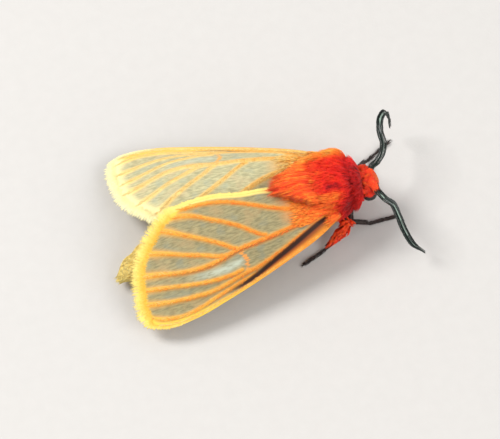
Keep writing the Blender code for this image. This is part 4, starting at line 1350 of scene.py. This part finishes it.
def egg_hairs(rng, centre, radii, coat_radii, tufts, each, flow, lengths, rise):
    """Paths of tufts all over an egg shape, which lie towards one side of it and stand up there."""
    ways = unit(rng.normal(0, 1, (tufts, 3))).repeat(each, axis=0)
    ways = unit(ways + rng.normal(0, 0.06, ways.shape))
    lay = flow - ways * (ways @ flow)[:, None]
    lay += rng.normal(0, 0.16, (tufts, 3)).repeat(each, axis=0) + rng.normal(0, 0.05, ways.shape)
    length = scaled(rng, tufts, each, lengths, (0.75, 1.1))
    tall = scaled(rng, tufts, each, (0.75, 1.05), (0.85, 1.05))
    steps = np.linspace(0, 1, len(rise))
    turned = unit(ways[:, None] + lay[:, None] * (length[:, None] * steps)[..., None])
    height = (np.array(rise) * tall[:, None])[..., None]
    paths = centre + turned * (radii + (coat_radii - radii) * height)
    return drawn_together(paths, each, 0.35, steps), unit(ways / radii)


class MOTH_OT_head_coat(Operator):
    """Cover the head with short tufts that point forward round the eyes"""

    bl_idname = "moth.head_coat"
    bl_label = "Head coat"

    def execute(self, context):
        coat = context.scene.moth_coat
        rng = np.random.default_rng(12)
        tufts, each = coat.head_tufts, coat.tuft_hairs
        paths, outs = egg_hairs(
            rng, HEAD_CENTRE, HEAD_RADII, HEAD_COAT_RADII, tufts, each, np.array([0.94, 0.0, -0.34]),
            (0.35, 0.75), HEAD_RISE,
        )
        away = paths - HEAD_CENTRE
        full = 1 + 0.42 * ease(-away[..., 0], 0.1, 1.0)
        cheek = 1 + 0.24 * ease(away[..., 1], 0.3, 1.2) * ease(away[..., 2], -0.4, 0.4)
        paths[..., 1] = away[..., 1] * full * cheek
        paths[..., 2] = HEAD_CENTRE[2] + away[..., 2] * full
        kept = np.ones(len(paths), bool)
        for side in (RIGHT, LEFT):
            x, y, z = EYE_PLACE
            kept &= clear_of(paths, (x, side * (y + 0.06), z - 0.05), [r * 0.93 for r in EYE_RADII])
            for spot in smooth_path(FEELER_ROUTES[side], np.linspace(0.1, 0.3, 10)):
                kept &= clear_of(paths, spot, (0.22, 0.22, 0.22))
        start = paths[:, 1]
        tones = 0.43 + 0.08 * ease(start[:, 2], 3.6, 5.0) + 0.16 * ease(start[:, 0], 9.5, 10.3)
        tones = tones - 0.14 * ease(-start[:, 0], -8.9, -8.4)
        tones = tones + varied(rng, tufts, each, 0.06, 0.035)
        widths = half_widths(rng, 0.5, 0.85, len(paths))
        places = egg_map(outs[:, 0], np.arctan2(outs[:, 1], outs[:, 2]), -1.0, 1.0)
        rows = (row[kept] for row in (paths, outs, widths, tones, places))
        hairs("head_coat", *rows, coat_finish("coat"))
        for side in (RIGHT, LEFT):
            brow(side, rng)
            forelock(side, rng)
        return {"FINISHED"}


def brow(side, rng):
    """Hair that lies forward from the head over the upper part of an eye."""
    centre = np.array(EYE_PLACE) * (1, side, 1)
    surface = shell(centre, np.array(EYE_RADII) * 0.98, centre, np.array(EYE_RADII) * 1.16)
    count, each = BROW_TUFTS
    roots = rng.uniform(8.8, 9.35, count)
    turns = side * rng.uniform(-0.9, 0.8, count)
    paths, outs, at, turn = tufted(
        rng, surface, roots, turns, -rng.uniform(0.35, 0.65, count), BROW_RISE, each,
        (0.05, 0.1), 0.4, 0.15, (0.6, 1.1),
    )
    tones = 0.44 + varied(rng, count, each, 0.04, 0.03)
    widths = half_widths(rng, 0.4, 0.65, len(paths))
    places = egg_map(at, turn, 8.0, 10.2)
    return hairs(f"brow_{SIDE_NAMES[side]}", paths, outs, widths, tones, places,
                 coat_finish("coat"))


FORELOCKS = {
    RIGHT: ((9.15, -0.25, 4.95), (9.52, -0.55, 5.2), (9.78, -0.9, 5.2), (9.92, -1.28, 5.06),
            (10.0, -1.62, 4.9)),
    LEFT: ((9.15, 0.2, 4.9), (9.55, 0.4, 5.16), (9.82, 0.62, 5.1), (9.98, 0.84, 5.0)),
}


def forelock(side, rng):
    """Hair that lies forward from the head over the root of a feeler."""
    count = FORELOCK_HAIRS[side]
    place = rng.uniform(0, 0.66, count)
    steps = np.linspace(0, 1, 4)
    run = np.minimum(place[:, None] + rng.uniform(0.26, 0.4, count)[:, None] * steps, 1.0)
    off = rng.uniform(-1, 1, count)
    aside, _ = sides_of(heading(FORELOCKS[side], run))
    paths = aside * (off[:, None] * 0.45 * (1 - 0.3 * run))[..., None]
    paths += smooth_path(FORELOCKS[side], run)
    paths[..., 2] += np.array([-0.16, 0.0, 0.03, -0.02]) - 0.3 * (off**2)[:, None]
    paths += rng.normal(0, 0.02, paths.shape)
    tones = 0.5 + 0.05 * run + rng.normal(0, 0.05, count)[:, None]
    widths = half_widths(rng, 0.5, 0.8, count)
    outs = unit(UP + aside[:, 1] * 0.6 * off[:, None])
    places = np.stack([0.05 + 0.85 * place, 0.5 + 0.4 * off], 1)
    return hairs(f"forelock_{SIDE_NAMES[side]}", paths, outs, widths, tones, places,
                 coat_finish("coat"))


class MOTH_OT_abdomen_coat(Operator):
    """Cover the abdomen with short gold hair and the brush at its end"""

    bl_idname = "moth.abdomen_coat"
    bl_label = "Abdomen coat"

    def execute(self, context):
        coat = context.scene.moth_coat
        rng = np.random.default_rng(13)
        count = coat.abdomen_tufts
        roots = 0.97 * rng.beta(1.8, 1.0, count)
        roots[: count // 4] = rng.uniform(0.84, 0.985, count // 4)
        turns = rng.uniform(-np.pi, np.pi, count)
        lengths = -rng.uniform(0.7, 1.25, count) / ABDOMEN_RUN[-1]
        lengths = np.maximum(lengths, roots - rng.uniform(0.985, 1.04, count))
        paths, outs, at, turn = tufted(
            rng, abdomen_place, roots, turns, lengths, ABDOMEN_RISE, coat.tuft_hairs,
            (0.006, 0.13), 0.16, 0.06, (0.84, 1.06),
        )
        paths[..., 2] = np.maximum(paths[..., 2], 0.04)
        tones = 0.5 - 0.2 * ease(-np.cos(turn), 0.3, 0.9) + 0.2 * ease(at, 0.75, 0.95)
        tones += varied(rng, count, coat.tuft_hairs, 0.12, 0.1)
        finish = hair_finish("gold_hair", ((1.0, 0.50, 0.05), (1.0, 0.66, 0.12)),
                             ((1.0, 0.68, 0.12), (1.0, 0.84, 0.30)))
        widths = half_widths(rng, 0.65, 1.0, len(paths))
        rows = (paths, outs, widths, tones, egg_map(at, turn, 0.0, 1.0))
        halfway = np.median(at)
        for word, chosen in (("front", at < halfway), ("rear", at >= halfway)):
            made = hairs(f"abdomen_coat_{word}", *(row[chosen] for row in rows), finish, 0.45)
        return {"FINISHED"}


class MOTH_OT_eyes(Operator):
    """Set the two dark faceted eyes in the head"""

    bl_idname = "moth.eyes"
    bl_label = "Eyes"

    def execute(self, context):
        made = Finish("eye", Roughness=0.3, Specular_IOR_Level=0.4, Coat_Weight=0.25,
                      Coat_Roughness=0.15)
        facets = made.node("TexVoronoi", Vector=made.place(), Scale=11000.0)
        glow = made.span(facets.outputs["Distance"], 0.1, 0.7)
        made.colour(made.mix(glow, (0.02, 0.011, 0.009), (0.004, 0.003, 0.003)))
        made.bump(made.maths("SUBTRACT", 1.0, facets.outputs["Distance"]), 0.00003, 0.7)
        for side in (RIGHT, LEFT):
            x, y, z = EYE_PLACE
            deselect()
            bpy.ops.mesh.primitive_ico_sphere_add(
                subdivisions=5, radius=MM, location=stored((x, side * y, z)), scale=EYE_RADII
            )
            eye = settle(context.object, f"eye_{SIDE_NAMES[side]}_dome", made.material)
            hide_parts(f"eye_{SIDE_NAMES[side]}")
        return {"FINISHED"}


class MOTH_OT_palps(Operator):
    """Make the two short hairy palps under the face"""

    bl_idname = "moth.palps"
    bl_label = "Palps"

    def execute(self, context):
        rng = np.random.default_rng(14)
        half = np.linspace(0, 1, 4)
        for side in (RIGHT, LEFT):
            route = [(x, side * y, z) for x, y, z in PALP_PATH]
            shares = np.linspace(0, 1, 10)
            path = smooth_path(route, shares * PALP_SHARE)
            radii = np.interp(shares, half, PALP_RADII) * 0.7
            palp = drawn_out(path, radii, 12)
            palp = settle(palp, f"palp_{SIDE_NAMES[side]}_core", bpy.data.materials["skin"])
            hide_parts(f"palp_{SIDE_NAMES[side]}")
            place = rng.uniform(0, 0.8, PALP_HAIRS)
            turn = rng.uniform(-np.pi, np.pi, PALP_HAIRS)
            run = np.minimum(place[:, None] + 0.35 * half, 1.15) * PALP_SHARE
            out = round_way(*sides_of(heading(route, run, 0.02)), turn)
            radius = np.interp(run, half, PALP_RADII)
            radius = radius * (1 - 0.85 * ease(run / PALP_SHARE, 0.75, 1.15))
            lift = radius * np.array(PALP_RISE)
            paths = smooth_path(route, run) + out * lift[..., None]
            tones = rng.normal(0.34, 0.06, PALP_HAIRS)
            widths = half_widths(rng, 0.45, 0.7, PALP_HAIRS)
            places = np.stack([0.05 + 0.85 * place, round_map(turn)], 1)
            made = hairs(f"palp_{SIDE_NAMES[side]}_coat", paths, out[:, 0], widths, tones, places,
                         coat_finish("coat"))
        return {"FINISHED"}


FEELER_KNOTS = 42


def feeler_finish(colour):
    """Green-black scales, with a painted grey-green highlight along the top of the shaft, in the
    hollow between the two combs.
    """
    made = Finish("feeler", Roughness=0.36, Specular_IOR_Level=0.5, Coat_Weight=0.12,
                  Coat_Roughness=0.3)
    top_highlight = made.span(made.attribute("top_highlight"), 0.3, 0.95)
    worn = made.mix(made.times(made.noise(5000), 0.5), colour, (0.02, 0.034, 0.028))
    made.colour(made.mix(top_highlight, worn, (0.30, 0.40, 0.33)))
    made.bump(made.noise(16000), 0.00002, 0.6)
    return made.material


class MOTH_OT_feelers(Operator):
    """Draw out the two feelers and set their folded combs along them"""

    bl_idname = "moth.feelers"
    bl_label = "Feelers"

    def execute(self, context):
        limbs = context.scene.moth_limbs
        rng = np.random.default_rng(15)
        finish = feeler_finish(limbs.feeler_colour)
        for side, route in FEELER_ROUTES.items():
            word = SIDE_NAMES[side]
            shares = np.linspace(0, 1, 2 * FEELER_KNOTS)
            path = smooth_path(route, shares)
            taper = 1 - 0.55 * ease(shares, 0.7, 1.0)
            knots = 1 + 0.05 * np.cos(shares * 2 * np.pi * FEELER_KNOTS)
            thick = limbs.feeler_radius / MM * taper * knots
            thick *= 1 + 0.35 * (1 - ease(shares, 0.0, 0.1))
            shaft = settle(drawn_out(path, thick, 12), f"feeler_{word}_shaft", finish)
            spots = np.empty(len(shaft.data.vertices) * 3, np.float32)
            shaft.data.vertices.foreach_get("co", spots)
            spots = spots.reshape(-1, 3) / MM + MIDDLE
            nearest = np.linalg.norm(spots[:, None] - path[None], axis=-1).argmin(1)
            # Painted highlight along the top of the shaft, past its root and fading towards its tip
            raised = (spots - path[nearest])[:, 2] / thick[nearest]
            top_highlight = ease(raised, 0.35, 0.85) * ease(shares[nearest], 0.14, 0.22)
            give(shaft.data, "top_highlight", top_highlight * (1 - 0.6 * ease(shares[nearest], 0.8, 1.0)))
            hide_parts(*(f"antenna_{word}_{part}" for part in ("base", "middle", "tip")))
            feeler_combs(word, route, limbs.feeler_branches, rng, finish)
        return {"FINISHED"}


# A comb's branch from root to tip, as (ahead, out, up)
BRANCH = (
    (0.0, 0.03, -0.03), (0.12, 0.19, -0.04), (0.26, 0.275, 0.04), (0.4, 0.27, 0.14),
    (0.52, 0.21, 0.2),
)


def feeler_combs(word, route, count, rng, finish):
    """Two rows of short branches that fold up on each side of a feeler's hollow."""
    at = np.linspace(0.05, 0.985, count)
    at = np.concatenate([at, at + 0.4 / count])
    flank = np.repeat([1.0, -1.0], count)
    centre, way = smooth_path(route, at), heading(route, at)
    side, top = sides_of(way)
    flat = side * flank[:, None]
    size = (1 - 0.55 * ease(at, 0.68, 1.0)) * (0.85 + 0.15 * ease(at, 0.02, 0.12))
    paths = np.zeros((len(at), len(BRANCH), 3))
    for k, (ahead, out, high) in enumerate(BRANCH):
        wave = rng.normal(0, 0.008, len(at))
        reach = way * ahead + flat * (out + wave)[:, None] + top * high
        paths[:, k] = centre + reach * size[:, None]
    widths = 0.075 * size * rng.uniform(0.9, 1.1, len(at))
    outs = unit(flat + top * 0.2)
    places = np.stack([mapped(at / at.max()), 0.3 + 0.2 * flank], 1)
    return hairs(f"feeler_{word}_combs", paths, outs, widths, np.zeros(len(at)), places, finish)


LEG_PROFILE = {
    "femur": ((0.0, 0.26), (0.25, 0.33), (0.75, 0.27), (0.97, 0.2)),
    "tibia": ((0.03, 0.19), (0.4, 0.22), (0.85, 0.21), (0.99, 0.18)),
}
FOOT_JOINTS = 5
FOOT_RINGS = ((0.12, 0.13), (0.4, 0.18), (0.88, 0.165))
HEEL_HEIGHT = 0.24
TOE_HEIGHT = 0.13
# Claws run on from the toe and spurs along the shin's end, as (ahead, aside, up) and (ahead, aside)
CLAW = ((0.0, 0.0, 0.0), (0.12, 0.06, 0.02), (0.22, 0.09, -0.06))
CLAW_RADII = (0.045, 0.035, 0.01)
SPUR = ((-0.5, 0.0), (-0.2, 0.16), (0.15, 0.24))
SPUR_RADII = (0.06, 0.045, 0.01)
LEG_HAIR_ROOTS = (0.24, 0.17, 0.12)


def leg_rings(points):
    """The middle line and radius of a whole leg: thigh, shin and the five joints of its foot."""
    hip, knee, ankle, toe = (np.array(point) for point in points)
    path, radii = [], []
    for start, end, part in ((hip, knee, "femur"), (knee, ankle, "tibia")):
        for share, radius in LEG_PROFILE[part]:
            path.append(start + (end - start) * share)
            radii.append(radius)
    heel = np.array([*ankle[:2], HEEL_HEIGHT])
    end = np.array([*toe[:2], TOE_HEIGHT])
    for joint in range(FOOT_JOINTS):
        for share, radius in FOOT_RINGS:
            reach = (joint + share) / FOOT_JOINTS
            path.append(heel + (end - heel) * reach)
            radii.append(radius * (1 - 0.3 * reach))
    return path, radii


class MOTH_OT_legs(Operator):
    """Draw out the six legs with their claws, spurs and hair"""

    bl_idname = "moth.legs"
    bl_label = "Legs"

    def execute(self, context):
        limbs = context.scene.moth_limbs
        rng = np.random.default_rng(16)
        made = Finish("leg", Roughness=0.45, Specular_IOR_Level=0.4)
        made.colour(made.mix(made.noise(4200), limbs.leg_colour, (0.04, 0.022, 0.016)))
        made.bump(made.noise(14000), 0.00003, 0.7)
        for (pair, side), points in LEG_POINTS.items():
            word = f"{pair}leg_{SIDE_NAMES[side]}"
            path, radii = leg_rings(points)
            pieces = [drawn_out(path, radii, 12)]
            way = unit(np.array(path[-1]) - np.array(path[-2]))
            flat = np.cross(way, UP)
            ankle, knee = np.array(points[2]), np.array(points[1])
            down = unit(ankle - knee)
            for fork in (-1, 1):
                claw = [path[-1] + way * ahead + flat * aside * fork + UP * up
                        for ahead, aside, up in CLAW]
                pieces.append(drawn_out(claw, CLAW_RADII, 6))
            for fork in (-1, 1):
                spur = [ankle + down * ahead + flat * aside * fork for ahead, aside in SPUR]
                pieces.append(drawn_out(spur, SPUR_RADII, 6))
            leg = joined(pieces)
            rounding = leg.modifiers.new("Rounded", "SUBSURF")
            rounding.levels = rounding.render_levels = 1
            apply_all(leg)
            leg = settle(leg, word, made.material)
            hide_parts(*(f"{word}_{part}" for part in ("femur", "tibia", "tarsus")))
            short_leg_coat(word, points, rng)
            if pair == "mid":
                long_leg_coat(word, points, rng)
        return {"FINISHED"}


def leg_frame(points, upper):
    """Start, span, way, side and top of the thigh or shin that each hair grows on."""
    hip, knee, ankle, _ = (np.array(point) for point in points)
    start = np.where(upper[:, None], hip, knee)
    span = np.where(upper[:, None], knee, ankle) - start
    way = unit(span)
    return start, span, way, *sides_of(way)


def short_leg_coat(word, points, rng):
    """Close dark hair along the thigh, shin and foot."""
    count = LEG_HAIRS
    part = rng.integers(0, 3, count)
    start, span, way, flat, top = leg_frame(points, part == 0)
    foot = part == 2
    heel = np.array([*points[2][:2], 0.22])
    start[foot], span[foot] = heel, np.array([*points[3][:2], TOE_HEIGHT]) - heel
    way[foot] = unit(span[foot])
    flat[foot], top[foot] = sides_of(way[foot])
    place = rng.uniform(0.02, 0.9, count)
    turn = rng.uniform(-np.pi, np.pi, count)
    out = round_way(flat, top, turn)
    length = rng.uniform(0.2, 0.4, count)
    radius = np.array(LEG_HAIR_ROOTS)[part]
    steps = np.linspace(0, 1, 3)
    paths = (start + span * place[:, None])[:, None]
    paths = paths + way[:, None] * (length[:, None] * steps)[..., None]
    paths = paths + out[:, None] * (radius[:, None] + 0.09 * steps**0.7)[..., None]
    paths[..., 2] = np.maximum(paths[..., 2], 0.02)
    tones = rng.uniform(0, 1, count) ** 2 * np.where(part == 0, 1.0, 0.4)
    widths = half_widths(rng, 0.35, 0.6, count)
    places = np.stack([0.02 + 0.3 * place + 0.32 * part, round_map(turn)], 1)
    finish = hair_finish("leg_hair", ((0.010, 0.007, 0.006), (0.06, 0.010, 0.007)),
                         ((0.022, 0.014, 0.011), (0.16, 0.024, 0.010)))
    return hairs(f"{word}_coat", paths, out, widths, tones, places, finish)


def long_leg_coat(word, points, rng):
    """Red locks that hang from the thigh and draw together to a point at the end of the shin."""
    tufts, each = LEG_LOCKS
    count = tufts * each
    upper = rng.uniform(0, 1, tufts) < 0.35
    place = np.where(upper, rng.uniform(0.3, 1.0, tufts), rng.uniform(-0.1, 0.8, tufts))
    turn = rng.uniform(-2.6, 2.6, tufts)
    own = rng.uniform(0.45, 1.15, tufts)
    length = rng.uniform(0.7, 1.2, tufts) * np.where(upper, 0.7, 1.0)
    upper, place, turn, own, length = (
        part.repeat(each) for part in (upper, place, turn, own, length)
    )
    place = place + rng.normal(0, 0.03, count)
    turn = turn + rng.normal(0, 0.12, count)
    length = length * rng.uniform(0.75, 1.1, count)
    start, span, way, flat, top = leg_frame(points, upper)
    size = np.linalg.norm(span, axis=1)
    out = round_way(flat, top, turn)
    steps = np.linspace(0, 1, 4)
    run = place[:, None] + (length / size)[:, None] * steps
    run = np.where(upper[:, None], run, np.minimum(run, 1.06))
    narrow = np.where(upper[:, None], 1.1, 1.35 - 1.05 * np.clip(run, 0, 1) ** 1.4)
    bulge = 0.16 + (0.36 * own)[:, None] * np.minimum(steps * 1.8, 1.0)
    paths = start[:, None] + way[:, None] * (run * size[:, None])[..., None]
    paths = paths + out[:, None] * (bulge * narrow)[..., None]
    paths = drawn_together(paths, each, 0.6, steps)
    paths[..., 2] = np.maximum(paths[..., 2], 0.03)
    tones = 0.48 + 0.06 * np.cos(turn) * own + rng.normal(0, 0.04, count)
    widths = half_widths(rng, 0.5, 0.85, count)
    places = np.stack([0.02 + 0.45 * np.clip(place, 0, 1) + 0.5 * ~upper, round_map(turn)], 1)
    return hairs(f"{word}_locks", paths, out, widths, tones, places, coat_finish("coat"))


# Stage


def lamp(name, place, size, power):
    """A round lamp that faces the moth."""
    data = bpy.data.lights.new(name, "AREA")
    data.shape = "DISK"
    data.size = size
    data.energy = power
    made = bpy.data.objects.new(name, data)
    bpy.context.scene.collection.objects.link(made)
    made.location = place
    made.rotation_euler = (Vector(LIT_SPOT) - Vector(place)).to_track_quat("-Z", "Y").to_euler()
    return made


class MOTH_OT_stage(Operator):
    """Lay the floor and set the lights and the camera"""

    bl_idname = "moth.stage"
    bl_label = "Stage"

    def execute(self, context):
        settings = context.scene.moth_stage
        deselect()
        bpy.ops.mesh.primitive_plane_add(size=FLOOR_SIZE)
        floor = context.object
        floor.name = "floor"
        made = Finish("floor", Roughness=0.75, Specular_IOR_Level=0.2)
        tone = made.mix(made.noise(900, 5), settings.floor_colour,
                        [c * 0.94 for c in settings.floor_colour])
        made.colour(tone)
        made.bump(made.noise(4000, 4), 0.00004, 0.25)
        floor.data.materials.append(made.material)
        lamp("key", KEY_PLACE, KEY_SIZE, settings.key_power)
        lamp("fill", FILL_PLACE, FILL_SIZE, settings.fill_power)
        scene = context.scene
        scene.world = scene.world or bpy.data.worlds.new("world")
        scene.world.use_nodes = True
        sky = scene.world.node_tree.nodes["Background"]
        sky.inputs["Color"].default_value = (1.0, 1.0, 1.0, 1.0)
        sky.inputs["Strength"].default_value = settings.sky
        scene.view_settings.view_transform = "Standard"
        camera = bpy.data.cameras.new("camera")
        camera.lens = VIEW_LENS
        camera.clip_start = 0.01
        camera.clip_end = 10.0
        holder = bpy.data.objects.new("camera", camera)
        scene.collection.objects.link(holder)
        back = VIEW_RIGHT.cross(VIEW_UP)
        spot = VIEW_CENTRE + back * VIEW_DISTANCE - Vector(MIDDLE)
        turn = Matrix((VIEW_RIGHT, VIEW_UP, back)).transposed().to_4x4()
        holder.matrix_world = Matrix.Translation(spot * MM) @ turn
        scene.camera = holder
        return {"FINISHED"}


STEPS = (
    MOTH_OT_stage,
    MOTH_OT_body,
    MOTH_OT_forewings,
    MOTH_OT_hindwings,
    MOTH_OT_thorax_coat,
    MOTH_OT_head_coat,
    MOTH_OT_abdomen_coat,
    MOTH_OT_eyes,
    MOTH_OT_palps,
    MOTH_OT_feelers,
    MOTH_OT_legs,
)


class MOTH_PT_panel(Panel):
    """Lists the moth's settings and its steps"""

    bl_idname = "MOTH_PT_panel"
    bl_label = "Laterite matron"
    bl_space_type = "VIEW_3D"
    bl_region_type = "UI"
    bl_category = "Moth"

    def draw(self, context):
        for step in STEPS:
            self.layout.operator(step.bl_idname)
        for name in SETTINGS:
            group = getattr(context.scene, name)
            for prop in group.__annotations__:
                self.layout.prop(group, prop)


SETTINGS = {
    "moth_wings": WingSettings,
    "moth_coat": CoatSettings,
    "moth_limbs": LimbSettings,
    "moth_stage": StageSettings,
}


def register():
    for kind in (*SETTINGS.values(), *STEPS, MOTH_PT_panel):
        bpy.utils.register_class(kind)
    for name, kind in SETTINGS.items():
        setattr(bpy.types.Scene, name, PointerProperty(type=kind))


def unregister():
    for name in SETTINGS:
        delattr(bpy.types.Scene, name)
    for kind in (MOTH_PT_panel, *STEPS, *SETTINGS.values()):
        bpy.utils.unregister_class(kind)


def main():
    register()
    for step in STEPS:
        group, name = step.bl_idname.split(".")
        getattr(getattr(bpy.ops, group), name)()


if __name__ == "__main__":
    main()
